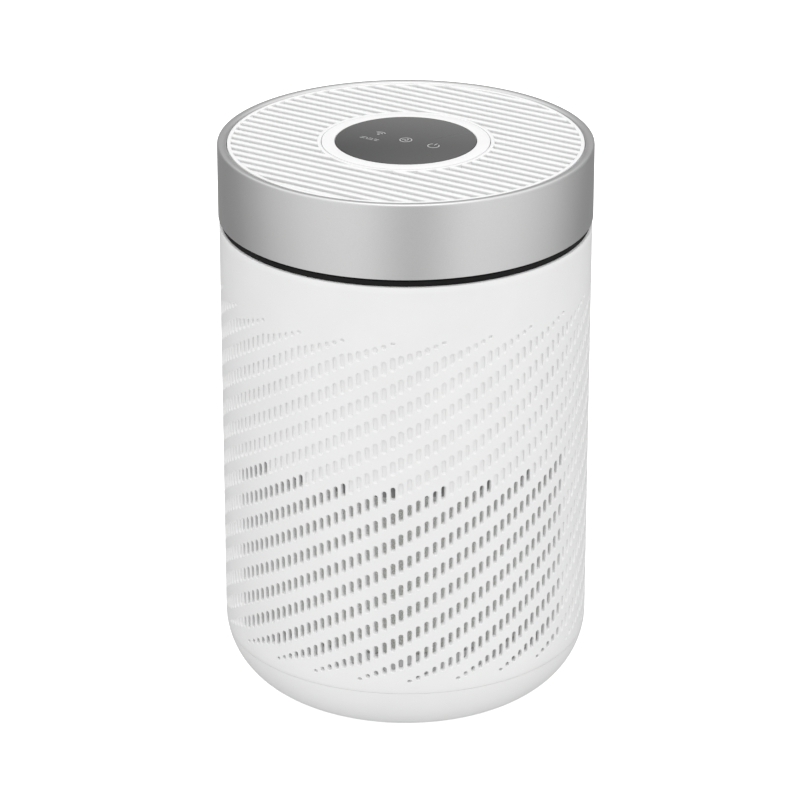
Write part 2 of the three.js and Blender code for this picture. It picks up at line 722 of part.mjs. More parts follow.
const GRILLE_INNER = BEZEL_RADIUS + GAP;
const grille = barredRing(
  GRILLE_RADIUS, GRILLE_INNER, GRILLE_BORDER, GRILLE_TOP - GRILLE_THICK, GRILLE_TOP,
  SLAT_PITCH, SLAT_WIDTH, 0,
);
const guard = barredRing(
  GRILLE_RADIUS - GAP, GRILLE_INNER, GRILLE_BORDER * 2, GUARD_TOP - GUARD_THICK, GUARD_TOP,
  GUARD_PITCH, SLAT_WIDTH, GUARD_PITCH / 2,
);
place(housing, "top_grille", grille, WHITE);
place(housing, "outlet_guard", guard, WHITE);

const LEDGE_TOP = GLASS_TOP - GLASS_THICK - GAP;
const POD_TOP = 338.4;
const POD_BOTTOM = 318;
const POD_RADIUS = BEZEL_RADIUS - 0.4;
const POD_WALL = 2;
const POD_BEVEL = 6;
const TOUCH_BOARD_BOTTOM = 331;
const TOUCH_BOARD_THICK = 1.6;
const ICON_SPACING = 19;
const LIGHT_GUIDE = 4; // radius

function panelBezel() {
  return turned([
    [GLASS_RADIUS - 2.5, POD_TOP + GAP],
    [BEZEL_RADIUS, POD_TOP + GAP],
    [BEZEL_RADIUS, BEZEL_TOP - 0.5],
    [BEZEL_RADIUS - 0.5, BEZEL_TOP],
    [GLASS_RADIUS + GAP, BEZEL_TOP],
    [GLASS_RADIUS + GAP, LEDGE_TOP],
    [GLASS_RADIUS - 2.5, LEDGE_TOP],
  ], FINE);
}

function panelPod() {
  return turned([
    [0, POD_BOTTOM],
    [POD_RADIUS - POD_BEVEL, POD_BOTTOM],
    [POD_RADIUS, POD_BOTTOM + POD_BEVEL],
    [POD_RADIUS, POD_TOP],
    [POD_RADIUS - POD_WALL, POD_TOP],
    [POD_RADIUS - POD_WALL, POD_BOTTOM + POD_BEVEL],
    [POD_RADIUS - POD_BEVEL - POD_WALL, POD_BOTTOM + POD_WALL],
    [0, POD_BOTTOM + POD_WALL],
  ]);
}

// The touch board: a round board with a light guide for each icon.
function touchBoard() {
  const bottom = TOUCH_BOARD_BOTTOM;
  const guide = (x) => disc(LIGHT_GUIDE, bottom + 1, POD_TOP - 1, SMALL).translate(x, 0, 0);
  const board = disc(GLASS_RADIUS - 3, bottom, bottom + TOUCH_BOARD_THICK);
  return joined([board, ...[-ICON_SPACING, 0, ICON_SPACING].map(guide)]);
}

place(housing, "panel_bezel", panelBezel(), WHITE);
place(housing, "touch_glass", disc(GLASS_RADIUS, GLASS_TOP - GLASS_THICK, GLASS_TOP, FINE), GLASS);
place(housing, "panel_pod", panelPod(), WHITE);
place(housing, "touch_board", touchBoard(), BOARD);

// ---- housing: power inlet and main board at the rear -----------------------------------
function powerInlet() {
  const half = INLET_HEIGHT / 2;
  const middle = INLET_FACE_Y - INLET_DEPTH / 2;
  const body = block(INLET_WIDTH, INLET_DEPTH, INLET_Z - half, INLET_Z + half, 0, middle);
  const socketHalf = SOCKET_HEIGHT / 2;
  const socketY = INLET_FACE_Y - SOCKET_DEPTH / 2 + 0.01;
  const socket = block(SOCKET_WIDTH, SOCKET_DEPTH, INLET_Z - socketHalf, INLET_Z + socketHalf, 0, socketY);
  const pinY = INLET_FACE_Y - SOCKET_DEPTH - 1.5 + PIN_LENGTH / 2;
  const pin = (x) => block(PIN_SIZE, PIN_LENGTH, INLET_Z - PIN_SIZE / 2, INLET_Z + PIN_SIZE / 2, x, pinY);
  return cut(solid(body), [socket]).add(solid(pin(-PIN_X))).add(solid(pin(PIN_X)));
}

// The main board stands upright between duct and shell; its parts face outwards.
const BOARD_INNER_Y = 99.4;
const BOARD_THICK = 1.6;
const BOARD_BOTTOM = 200;
const BOARD_TOP = 262;
const BOARD_WIDTH = 44;

function mainBoard() {
  const board = block(BOARD_WIDTH, BOARD_THICK, BOARD_BOTTOM, BOARD_TOP, 0, BOARD_INNER_Y + BOARD_THICK / 2);
  const sunk = 0.3;
  const part = (x, up, width, height, depth) => {
    const bottom = BOARD_BOTTOM + up;
    const y = BOARD_INNER_Y + BOARD_THICK - sunk + depth / 2;
    return block(width, depth, bottom, bottom + height, x, y);
  };
  const transformer = part(-10, 4, 16, 18, 4.2);
  const capacitor = part(12, 6, 6, 10, 4.6);
  const relay = part(8, 28, 10, 12, 4.6);
  const connector = part(-6, 46, 18, 10, 3);
  return joined([board, transformer, capacitor, relay, connector]);
}

place(housing, "power_inlet", powerInlet(), BLACK);
place(housing, "main_board", mainBoard(), BOARD);
purifier.add(housing);

export default purifier;
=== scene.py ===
"""A round 360-degree air purifier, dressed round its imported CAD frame.

Lengths are in millimetres until a mesh is made, +Z is up, and -Y is the side the panel reads from.
Angles round the body are in degrees: "turn" runs from -Y towards +X.
"""

import math
from itertools import product

import bmesh
import bpy
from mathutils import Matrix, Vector


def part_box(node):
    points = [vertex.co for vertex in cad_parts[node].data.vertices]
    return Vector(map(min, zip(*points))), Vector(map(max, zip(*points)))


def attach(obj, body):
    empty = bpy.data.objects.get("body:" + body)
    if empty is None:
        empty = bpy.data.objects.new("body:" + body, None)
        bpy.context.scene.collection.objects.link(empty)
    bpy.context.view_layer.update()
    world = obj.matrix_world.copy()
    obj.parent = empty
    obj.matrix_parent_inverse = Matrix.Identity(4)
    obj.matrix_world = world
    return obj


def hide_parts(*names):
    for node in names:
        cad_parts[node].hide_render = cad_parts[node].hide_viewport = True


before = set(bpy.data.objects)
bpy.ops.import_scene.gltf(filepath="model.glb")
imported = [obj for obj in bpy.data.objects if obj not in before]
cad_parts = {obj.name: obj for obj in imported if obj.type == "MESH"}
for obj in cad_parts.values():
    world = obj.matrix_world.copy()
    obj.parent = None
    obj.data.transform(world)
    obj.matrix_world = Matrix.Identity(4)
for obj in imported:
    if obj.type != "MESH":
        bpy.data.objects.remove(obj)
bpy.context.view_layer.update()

MM = 0.001
FINE, ROUND, SMALL = 144, 96, 40  # sides of a large, a middle-sized and a small round piece
RING_STEPS = 192  # sides of the silver ring, whose highlight shows every side
FLUSH = 0.04  # half of a closed parting line
GAP = 0.3  # between pieces that rest on or beside each other


# ---- sizes that the frame gives ----


def extent(node):
    """A round CAD node's outer radius, bottom and top."""
    low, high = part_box(node)
    return high.x / MM, low.z / MM, high.z / MM


def block(node):
    """A CAD node's low corner, high corner and middle."""
    low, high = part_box(node)
    return low / MM, high / MM, (low + high) / 2 / MM


BODY_RADIUS, SHELL_BOTTOM, SHELL_TOP = extent("outer_shell")
RING_RADIUS, RING_BOTTOM, TOP_Z = extent("silver_ring")
BASE_BOTTOM = extent("base_cover")[1]
WALL = 2.5
BORE = BODY_RADIUS - WALL
BASE_FILLET = 43.4  # big rounded bottom edge
FLAT_RADIUS = BODY_RADIUS - BASE_FILLET
FILLET_Z = BASE_BOTTOM + BASE_FILLET
FLOOR_THICK = 3
SEAM_Z = SHELL_BOTTOM - 0.3

# Slots: six moulded sectors, each with 24 columns of slots on a slanted lattice
SECTORS = 6
SECTOR_DEGREES = 360 / SECTORS
OPEN_SECTORS = (0, 1, 3, 4)
INLET_SECTOR = 3
COLUMNS = 24
GROUP = 6  # columns in one slanted run
SLOT_PITCH = 4.58
SLOT_WIDTH = 2.5
SLOT_HEIGHT = 8.6
ROW_PITCH = 16.14
STEP = ROW_PITCH / GROUP
LOWEST_SLOT = 51.8
ROWS = 12
OPEN_ROWS = 7
DOT_HEIGHT = 1.8  # first slot of a tapering run
TAPER_STEP = 1.05  # each next slot of that run is this much taller
RECESS_DEPTH = 1.2  # of a blind slot
EDGE_SWING = 6  # power by which a slot's direction swings to radial at its sector's edge
LIP = 0.42  # chamfer round a slot
SILL = 0.9  # the lower wall of a slot rises by this much on its way in
SLOT_END_STEPS = 4


# ---- meshes ----


class Shape:
    """Points in millimetres and faces that are gathered into one mesh."""

    def __init__(self):
        self.points = []
        self.faces = []

    def point(self, place):
        self.points.append(place)
        return len(self.points) - 1

    def loop(self, places):
        return [self.point(p) for p in places]

    def face(self, *corners):
        self.faces.append(corners)

    def strip(self, first, second, closed=True):
        """Quads between two loops of the same length."""
        count = len(first)
        for i in range(count if closed else count - 1):
            j = (i + 1) % count
            self.face(first[i], first[j], second[j], second[i])

    def add(self, other):
        shift = len(self.points)
        self.points += other.points
        self.faces += [tuple(c + shift for c in f) for f in other.faces]
        return self

    def add_round(self, other, count, first=0.0):
        """Adds copies evenly round the Z axis, the first turned by so many degrees."""
        for number in range(count):
            self.add(other.moved(turn=first + number * 360 / count))
        return self

    def moved(self, x=0.0, y=0.0, z=0.0, turn=0.0):
        """A copy turned round the Z axis by degrees, then shifted."""
        copy = Shape()
        c, s = math.cos(math.radians(turn)), math.sin(math.radians(turn))
        copy.points = [(c * a - s * b + x, s * a + c * b + y, h + z) for a, b, h in self.points]
        copy.faces = list(self.faces)
        return copy

    def facing_back(self, y, z):
        """A copy laid over so that its height points to the rear, from y, at height z."""
        copy = Shape()
        copy.points = [(a, y + h, z + b) for a, b, h in self.points]
        copy.faces = list(self.faces)
        return copy


def polar(radius, angle):
    """The flat point at an angle in radians."""
    return (radius * math.cos(angle), radius * math.sin(angle))


def arc(centre_r, centre_z, radius, start, end, steps):
    """Points of an arc, angles in degrees."""
    points = []
    for i in range(steps + 1):
        along, up = polar(radius, math.radians(start + (end - start) * i / steps))
        points.append((centre_r + along, centre_z + up))
    return points


def soften(outline, radius, steps=3):
    """An outline with each corner off the axis rounded."""
    smooth = []
    count = len(outline)
    for i, here in enumerate(outline):
        if here[0] == 0:
            smooth.append(here)
            continue
        corner = Vector(here)
        back = Vector(outline[i - 1]) - corner
        ahead = Vector(outline[(i + 1) % count]) - corner
        cut = min(radius, back.length * 0.45, ahead.length * 0.45)
        start = corner + back.normalized() * cut
        end = corner + ahead.normalized() * cut
        for k in range(steps + 1):
            t = k / steps
            place = start * (1 - t) ** 2 + corner * (2 * t * (1 - t)) + end * t * t
            smooth.append((place.x, place.y))
    return smooth


def turned(outline, steps=FINE):
    """A [radius, z] outline turned round the Z axis. It closes on itself, or on the axis."""
    shape = Shape()
    rings = []
    for radius, z in outline:
        if radius == 0:
            rings.append([shape.point((0, 0, z))])
            continue
        ring = [(*polar(radius, 2 * math.pi * i / steps), z) for i in range(steps)]
        rings.append(shape.loop(ring))
    for first, second in zip(rings, rings[1:] + rings[:1]):
        if len(first) == 1 and len(second) == 1:
            continue
        if len(first) == 1 or len(second) == 1:
            tip, ring = (first[0], second) if len(first) == 1 else (second[0], first)
            for i in range(steps):
                shape.face(tip, ring[i], ring[(i + 1) % steps])
        else:
            shape.strip(first, second)
    return shape


def tube(inner, outer, bottom, top, edge=0.4, steps=FINE):
    outline = [(inner, bottom), (outer, bottom), (outer, top), (inner, top)]
    return turned(soften(outline, edge, 2), steps)


def lofted(loops):
    """A closed body through loops of points that all have the same length."""
    shape = Shape()
    corners = [shape.loop(loop) for loop in loops]
    for first, second in zip(corners, corners[1:]):
        shape.strip(first, second)
    shape.face(*corners[0])
    shape.face(*corners[-1])
    return shape


def disc(radius, bottom, top, edge, corner_steps=3, steps=FINE):
    outline = [(0, bottom), (radius, bottom), (radius, top), (0, top)]
    return turned(soften(outline, edge, corner_steps), steps)


def prism(outline, bottom, top, edge=0.0):
    """An [x, y] outline pulled from bottom to top, its rims chamfered by edge."""
    centre = Vector((sum(p[0] for p in outline), sum(p[1] for p in outline))) / len(outline)
    small = []
    for x, y in outline:
        inward = centre - Vector((x, y))
        place = Vector((x, y)) + inward.normalized() * min(edge, inward.length / 2)
        small.append((place.x, place.y))
    levels = [(outline, bottom), (outline, top)]
    if edge:
        levels = [(small, bottom), (outline, bottom + edge), (outline, top - edge), (small, top)]
    return lofted([[(x, y, z) for x, y in flat] for flat, z in levels])


def wedge(inner, outer, start, end, bottom, top, edge=0.0):
    """A piece of a ring between two angles."""
    steps = max(3, round((end - start) / 3))
    outline = arc(0, 0, outer, start, end, steps) + arc(0, 0, inner, end, start, steps)
    return prism(outline, bottom, top, edge)


def band(path, width, bottom, top, closed=False):
    """A wall of even width that stands on an [x, y] path."""
    left, right = [], []
    count = len(path)
    for i, here in enumerate(path):
        before = path[i - 1] if closed or i else here
        after = path[(i + 1) % count] if closed or i < count - 1 else here
        along = (Vector(after) - Vector(before)).normalized() * width / 2
        left.append((here[0] - along.y, here[1] + along.x))
        right.append((here[0] + along.y, here[1] - along.x))
    shape = Shape()
    loops = []
    for flat, z in ((left, bottom), (left, top), (right, top), (right, bottom)):
        loops.append(shape.loop([(x, y, z) for x, y in flat]))
    for first, second in zip(loops, loops[1:] + loops[:1]):
        shape.strip(first, second, closed)
    if not closed:
        shape.face(*[loop[0] for loop in loops])
        shape.face(*[loop[-1] for loop in loops])
    return shape


def box(x, y, z, edge=0.3):
    """A chamfered box from three (low, high) pairs."""
    outline = [(x[0], y[0]), (x[1], y[0]), (x[1], y[1]), (x[0], y[1])]
    return prism(soften(outline, edge, 2), z[0], z[1], edge)


def rounded_rectangle(width, height, corner, steps=5):
    half_w, half_h = width / 2 - corner, height / 2 - corner
    outline = []
    for quarter, (x, y) in enumerate(((1, -1), (1, 1), (-1, 1), (-1, -1))):
        start = 90 * quarter - 90
        outline += arc(x * half_w, y * half_h, corner, start, start + 90, steps)
    return outline


def bridge(shape, outer, inner, centre, outward=True):
    """Triangles between two loops of (corner, x, z), both anticlockwise round centre."""

    def sorted_by_angle(loop):
        found = []
        for corner, x, z in loop:
            found.append((math.atan2(z - centre[1], x - centre[0]) % (2 * math.pi), corner))
        first = min(range(len(found)), key=lambda i: found[i][0])
        found = found[first:] + found[:first]
        return found + [(found[0][0] + 2 * math.pi, found[0][1])]

    far, near = sorted_by_angle(outer), sorted_by_angle(inner)
    i = j = 0
    while i < len(outer) or j < len(inner):
        if j == len(inner) or (i < len(outer) and far[i + 1][0] < near[j + 1][0]):
            triangle = (far[i][1], far[i + 1][1], near[j][1])
            i += 1
        else:
            triangle = (far[i][1], near[j + 1][1], near[j][1])
            j += 1
        shape.face(*(triangle if outward else triangle[::-1]))


def piece(name, shape, material, body, *stands_for, sharp=32):
    """Makes the mesh, gives it its finish, and lets it ride on its body in place of CAD nodes."""
    mesh = bpy.data.meshes.new(name)
    mesh.from_pydata([[c * MM for c in p] for p in shape.points], [], shape.faces)
    clean = bmesh.new()
    clean.from_mesh(mesh)
    bmesh.ops.recalc_face_normals(clean, faces=clean.faces)
    clean.to_mesh(mesh)
    clean.free()
    mesh.shade_smooth()
    mesh.set_sharp_from_angle(angle=math.radians(sharp))
    mesh.materials.append(material)
    made = bpy.data.objects.new(name, mesh)
    bpy.context.scene.collection.objects.link(made)
    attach(made, body)
    if stands_for:
        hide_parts(*stands_for)


# ---- materials ----


class Finish:
    """A Principled material with procedural colour, roughness and fine relief."""

    def __init__(self, name, metallic=0.0, specular=0.5, coat=0.0, coat_roughness=0.1):
        self.material = bpy.data.materials.new(name)
        self.material.use_nodes = True
        self.nodes = self.material.node_tree.nodes
        self.links = self.material.node_tree.links
        self.shader = self.nodes["Principled BSDF"]
        self.shader.inputs["Metallic"].default_value = metallic
        self.shader.inputs["Specular IOR Level"].default_value = specular
        self.shader.inputs["Coat Weight"].default_value = coat
        self.shader.inputs["Coat Roughness"].default_value = coat_roughness
        self.coordinates = self.nodes.new("ShaderNodeTexCoord").outputs["Object"]

    def noise(self, scale, detail=3.0, stretch=(1, 1, 1)):
        """Noise with scale features to a metre, stretched along an axis where stretch is small."""
        mapping = self.nodes.new("ShaderNodeMapping")
        mapping.inputs["Scale"].default_value = stretch
        self.links.new(self.coordinates, mapping.inputs["Vector"])
        noise = self.nodes.new("ShaderNodeTexNoise")
        noise.inputs["Scale"].default_value = scale
        noise.inputs["Detail"].default_value = detail
        self.links.new(mapping.outputs["Vector"], noise.inputs["Vector"])
        return noise.outputs["Fac"]

    def colour(self, factor, low, high, start=0.3, end=0.7):
        """Base colour from low, where factor is start or less, to high, where it is end or more."""
        ramp = self.nodes.new("ShaderNodeValToRGB")
        for element, position, tint in zip(ramp.color_ramp.elements, (start, end), (low, high)):
            element.position = position
            element.color = (*tint, 1)
        self.links.new(factor, ramp.inputs["Fac"])
        self.links.new(ramp.outputs["Color"], self.shader.inputs["Base Color"])

    def roughness(self, factor, low, high):
        spread = self.nodes.new("ShaderNodeMapRange")
        spread.inputs["From Min"].default_value = 0.3
        spread.inputs["From Max"].default_value = 0.7
        spread.inputs["To Min"].default_value = low
        spread.inputs["To Max"].default_value = high
        self.links.new(factor, spread.inputs["Value"])
        self.links.new(spread.outputs["Result"], self.shader.inputs["Roughness"])

    def glow(self, strength):
        """A faint even light of its own: on the floor an even brightness, and on the filter paper
        and net painted light that stands in for light coming in through the open slots.
        """
        self.shader.inputs["Emission Color"].default_value = (1, 1, 1, 1)
        self.shader.inputs["Emission Strength"].default_value = strength

    def relief(self, factor, strength, distance=0.0002):
        bump = self.nodes.new("ShaderNodeBump")
        bump.inputs["Strength"].default_value = strength
        bump.inputs["Distance"].default_value = distance
        self.links.new(factor, bump.inputs["Height"])
        self.links.new(bump.outputs["Normal"], self.shader.inputs["Normal"])


def grey(value):
    return (value, value, value)


def plastic(name, low, high, rough, grain=1400, strength=0.05, **extra):
    """Moulded plastic: faint mottling, and the fine grain of the mould."""
    made = Finish(name, **extra)
    made.colour(made.noise(35), grey(low), grey(high))
    made.roughness(made.noise(90), *rough)
    made.relief(made.noise(grain, 2), strength)
    return made.material


SHELL_WHITE = plastic("shell_white", 0.84, 0.86, (0.42, 0.5), coat=0.06, coat_roughness=0.3)
TRIM_WHITE = plastic("trim_white", 0.80, 0.82, (0.45, 0.52))
INNER_GREY = plastic("inner_grey", 0.52, 0.55, (0.5, 0.6))
# Near-black: on the seal, magnet and mains inlet it is their own black; on the groove ring it is
# painted shade for the shadow in the recessed groove
BLACK_AND_GROOVE_SHADE = plastic("gasket_black", 0.006, 0.010, (0.7, 0.8), strength=0.12, specular=0.2)
RUBBER = plastic("foot_rubber", 0.035, 0.05, (0.75, 0.9), grain=900, strength=0.25)
BOARD = plastic("board_green", 0.02, 0.035, (0.35, 0.5))


def satin_silver():
    """Silver lacquer over plastic, with fine metallic flake."""
    made = Finish("ring_silver", metallic=0.9, coat=0.12, coat_roughness=0.25)
    made.colour(made.noise(2600, 1), grey(0.60), grey(0.64))
    made.roughness(made.noise(60), 0.30, 0.34)
    made.relief(made.noise(3200, 1), 0.03)
    return made.material


def smoked_glass():
    """Dark glossy panel, painted a little paler towards the rear: a painted reflection."""
    reach = 0.042
    made = Finish("panel_glass", specular=0.5, coat=0.2, coat_roughness=0.03)
    across = made.nodes.new("ShaderNodeSeparateXYZ")
    made.links.new(made.coordinates, across.inputs["Vector"])
    depth = made.nodes.new("ShaderNodeMapRange")
    depth.inputs["From Min"].default_value = -reach
    depth.inputs["From Max"].default_value = reach
    made.links.new(across.outputs["Y"], depth.inputs["Value"])
    # painted reflection: base colour paler towards the rear, in place of the studio's reflection in
    # the glass
    made.colour(depth.outputs["Result"], grey(0.035), grey(0.12), 0.0, 1.0)
    made.roughness(made.noise(80), 0.08, 0.12)
    made.relief(made.noise(40, 1), 0.01)
    return made.material


def printed_icon():
    """Pale print on the glass."""
    made = Finish("icon_print")
    made.colour(made.noise(300), grey(0.50), grey(0.56))
    made.roughness(made.noise(200), 0.4, 0.5)
    return made.material


def steel():
    """Bright steel with fine turning marks round its axis."""
    made = Finish("steel", metallic=1.0)
    made.colour(made.noise(120, 3, (1, 1, 8)), grey(0.53), grey(0.63))
    made.roughness(made.noise(150, 3, (1, 1, 10)), 0.24, 0.38)
    made.relief(made.noise(500, 2, (1, 1, 12)), 0.05)
    return made.material


def copper():
    """Windings, ribbed along their height."""
    made = Finish("coil_copper", metallic=1.0)
    made.colour(made.noise(200), (0.62, 0.27, 0.12), (0.72, 0.36, 0.18))
    made.roughness(made.noise(200), 0.3, 0.45)
    made.relief(made.noise(700, 2, (1, 1, 6)), 0.3)
    return made.material


# Painted light: a faint even emission on the filter paper and net that stands in for the light
# coming in through the open slots, fitted to the grey that the photo shows there
PAPER_PAINTED_LIGHT = 0.08
NET_PAINTED_LIGHT = 0.11


def paper():
    """Fibrous filter paper."""
    made = Finish("filter_paper", specular=0.2)
    made.colour(made.noise(600, 5), (0.74, 0.73, 0.69), (0.82, 0.81, 0.78))
    made.roughness(made.noise(400), 0.85, 0.95)
    made.relief(made.noise(1500, 5), 0.35)
    # painted light: emission in place of the light that reaches the paper through the slots
    made.glow(PAPER_PAINTED_LIGHT)
    return made.material


def carbon():
    """Packed black grains."""
    made = Finish("filter_carbon", specular=0.3)
    grains = made.nodes.new("ShaderNodeTexVoronoi")
    grains.inputs["Scale"].default_value = 700
    made.links.new(made.coordinates, grains.inputs["Vector"])
    made.colour(grains.outputs["Distance"], grey(0.012), grey(0.05), 0.1, 0.7)
    made.roughness(made.noise(500), 0.7, 0.9)
    made.relief(grains.outputs["Distance"], 0.6, 0.0004)
    return made.material


def netting():
    """Pale green-grey fibres."""
    made = Finish("filter_net", specular=0.3)
    made.colour(made.noise(500), (0.66, 0.70, 0.67), (0.74, 0.78, 0.75))
    made.roughness(made.noise(400), 0.6, 0.75)
    made.relief(made.noise(2500, 2), 0.2)
    # painted light: emission in place of the light that reaches the net through the slots
    made.glow(NET_PAINTED_LIGHT)
    return made.material


def ribbon():
    """Blue woven tape."""
    made = Finish("filter_ribbon", specular=0.2)
    made.colour(made.noise(900, 3, (1, 6, 1)), (0.05, 0.13, 0.26), (0.09, 0.20, 0.36))
    made.roughness(made.noise(600), 0.75, 0.9)
    made.relief(made.noise(2000, 2, (6, 1, 1)), 0.4)
    return made.material


SILVER = satin_silver()
GLASS = smoked_glass()
ICON = printed_icon()
STEEL = steel()
COPPER = copper()
PAPER = paper()
CARBON = carbon()
NET = netting()
RIBBON = ribbon()


# ---- outer shell ----


def outer_radius(z):
    """Outside of the body at a height: straight, then in along the bottom fillet."""
    if z >= FILLET_Z:
        return BODY_RADIUS
    return FLAT_RADIUS + math.sqrt(BASE_FILLET**2 - (FILLET_Z - z) ** 2)


def wall_point(sector, x, z, depth):
    """A point depth mm inside the wall, x across its sector.

    A slot runs along the sector's pull direction, and swings to radial just at the sector's edge,
    so that neighbouring sectors share their border.
    """
    outside = outer_radius(z)
    radius = max(outside - depth, BORE)
    half = math.radians(SECTOR_DEGREES / 2)
    edge = outside * math.sin(half)
    across = x * outside / BODY_RADIUS
    overshoot = math.asin(edge / radius) - half
    swing = overshoot * (abs(across) / edge) ** EDGE_SWING
    turn = math.asin(across / radius) - math.copysign(swing, x)
    turn += math.radians(SECTOR_DEGREES * sector)
    return (radius * math.sin(turn), -radius * math.cos(turn), z)


def slot_outline(x, bottom, top, grow):
    """A slot with round ends, anticlockwise from outside, as (x, z) points.

    The ends of a slot that is too short for half circles are flattened.
    """
    half = SLOT_WIDTH / 2 + grow
    end = min(half, (top - bottom) / 2 + grow - 0.05)
    outline = arc(x, 0, half, 180, 360, SLOT_END_STEPS) + arc(x, 0, half, 0, 180, SLOT_END_STEPS)
    points = []
    for i, (px, pz) in enumerate(outline):
        middle = bottom - grow + end if i <= SLOT_END_STEPS else top + grow - end
        points.append((px, middle + pz * end / half))
    return points


def slots_of(column):
    """(bottom, top, row) of each slot in a column, the tapering ends among them."""
    phase = column % GROUP
    found = []
    for row in range(-1, ROWS + 1):
        bottom = LOWEST_SLOT + row * ROW_PITCH + phase * STEP
        top = bottom + SLOT_HEIGHT
        rank = row * GROUP + phase + GROUP  # place in the lowest run, which starts at one
        if rank < 1:
            continue
        if rank <= GROUP:
            bottom = top - DOT_HEIGHT - (rank - 1) * TAPER_STEP
        if row == ROWS:
            top = bottom + DOT_HEIGHT + (GROUP - 1 - phase) * TAPER_STEP
        found.append((bottom, top, row))
    return found


class ShellBuilder:
    """The wall as a grid of columns and levels, with a cell of the grid opened for each slot."""

    FIRST_LEVEL = LOWEST_SLOT - (ROW_PITCH - SLOT_HEIGHT) / 2
    MARGIN = 1.8  # least wall above and below a slot within its cell
    TINY = 1e-6  # keeps a rounding error from adding a level
    BOTTOM_RIM, TOP_RIM = 0.4, 1.5  # least height left for the rims

    def __init__(self):
        self.shape = Shape()
        self.known = {}
        self.lowest = math.ceil((SHELL_BOTTOM + self.BOTTOM_RIM - self.FIRST_LEVEL) / STEP)
        self.highest = math.floor((SHELL_TOP - self.TOP_RIM - self.FIRST_LEVEL) / STEP)

    def level_z(self, level):
        return self.FIRST_LEVEL + level * STEP

    def border_x(self, column):
        """Where a column's left border lies across its sector, the outermost on its edges."""
        half = BODY_RADIUS * math.sin(math.radians(SECTOR_DEGREES / 2))
        return max(-half, min(half, (column - COLUMNS / 2) * SLOT_PITCH))

    def grid(self, depth, sector, column, z):
        """The shared corner where a column's border crosses a height."""
        key = (depth, (sector * COLUMNS + column) % (SECTORS * COLUMNS), round(z, 4))
        if key not in self.known:
            x = self.border_x(column)
            self.known[key] = self.shape.point(wall_point(sector, x, z, depth))
        return self.known[key]

    def cell_border(self, depth, sector, columns, levels):
        """The corners round a block of the grid, anticlockwise from outside."""
        left, right = columns
        low, high = levels
        steps = [(c, low) for c in range(left, right)]
        steps += [(right, level) for level in range(low, high)]
        steps += [(c, high) for c in range(right, left, -1)]
        steps += [(left, level) for level in range(high, low, -1)]
        border = []
        for column, level in steps:
            z = self.level_z(level)
            border.append((self.grid(depth, sector, column, z), self.border_x(column), z))
        return border

    def opening(self, sector, columns, levels, outline, depth):
        """Opens one block of the grid: chamfer, walls, and a floor or an open inside."""
        flat = outline(0, 0)
        centre = [sum(p[i] for p in flat) / len(flat) for i in (0, 1)]
        stages = [(LIP, 0.0, 0.0), (0.0, LIP, 0.0), (0.0, depth, SILL)]
        loops = []
        for grow, deep, rise in stages:
            flat = outline(grow, rise)
            corners = self.shape.loop([wall_point(sector, x, z, deep) for x, z in flat])
            loops.append([(c, x, z) for c, (x, z) in zip(corners, flat)])
        bridge(self.shape, self.cell_border(0, sector, columns, levels), loops[0], centre)
        for first, second in zip(loops, loops[1:]):
            self.shape.strip([c for c, _, _ in first], [c for c, _, _ in second])
        if depth < WALL:
            self.shape.face(*[c for c, _, _ in loops[-1]])
            self.plain(sector, columns, levels, (WALL,))
        else:
            border = self.cell_border(WALL, sector, columns, levels)
            bridge(self.shape, border, loops[-1], centre, False)

    def plain(self, sector, columns, levels, depths=(0, WALL)):
        """Plain wall over a block of the grid, on the outside, the inside or both."""
        for depth, column, level in product(depths, range(*columns), range(*levels)):
            low, high = self.level_z(level), self.level_z(level + 1)
            places = ((column, low), (column + 1, low), (column + 1, high), (column, high))
            corners = [self.grid(depth, sector, side, z) for side, z in places]
            self.shape.face(*(corners if depth == 0 else corners[::-1]))

    def column(self, sector, column):
        """Makes a column's slots and the wall between them. Returns the level it got to."""
        x = (column - (COLUMNS - 1) / 2) * SLOT_PITCH
        done = self.lowest
        for bottom, top, row in slots_of(column):
            low = math.floor((bottom - self.MARGIN - self.FIRST_LEVEL) / STEP + self.TINY)
            high = math.ceil((top + self.MARGIN - self.FIRST_LEVEL) / STEP - self.TINY)
            low = max(low, done)
            self.plain(sector, (column, column + 1), (done, low))
            through = sector in OPEN_SECTORS and row < OPEN_ROWS

            def outline(grow, rise, bottom=bottom, top=top):
                return slot_outline(x, bottom + min(rise, (top - bottom) / 3), top, grow)

            depth = WALL if through else RECESS_DEPTH
            self.opening(sector, (column, column + 1), (low, high), outline, depth)
            done = high
        return done

    def inlet_block(self):
        """The block of the grid that the power inlet's hole takes."""
        low, high, middle = block("power_inlet")
        reach = math.ceil(high.x / SLOT_PITCH)
        bottom = math.floor((low.z - self.FIRST_LEVEL) / STEP)
        top = math.ceil((high.z - self.FIRST_LEVEL) / STEP)
        columns = (COLUMNS // 2 - reach, COLUMNS // 2 + reach)

        def outline(grow, _):
            spare = 2 * (GAP + grow)
            flat = rounded_rectangle(2 * high.x + spare, high.z - low.z + spare, 1.5)
            return [(x, z + middle.z) for x, z in flat]

        return columns, (bottom, top), outline

    def build(self):
        """The whole wall: the inlet's hole first, then column by column, then both rims."""
        columns, levels, outline = self.inlet_block()
        self.opening(INLET_SECTOR, columns, levels, outline, WALL)
        for sector in range(SECTORS):
            for column in range(COLUMNS):
                done = self.column(sector, column)
                spans = [(done, self.highest)]
                if sector == INLET_SECTOR and columns[0] <= column < columns[1]:
                    spans = [(done, levels[0]), (levels[1], self.highest)]
                for span in spans:
                    self.plain(sector, (column, column + 1), span)
        self.rim(self.level_z(self.highest), SHELL_TOP, 0.8)
        self.rim(self.level_z(self.lowest), SEAM_Z + FLUSH, 0.15)
        return self.shape

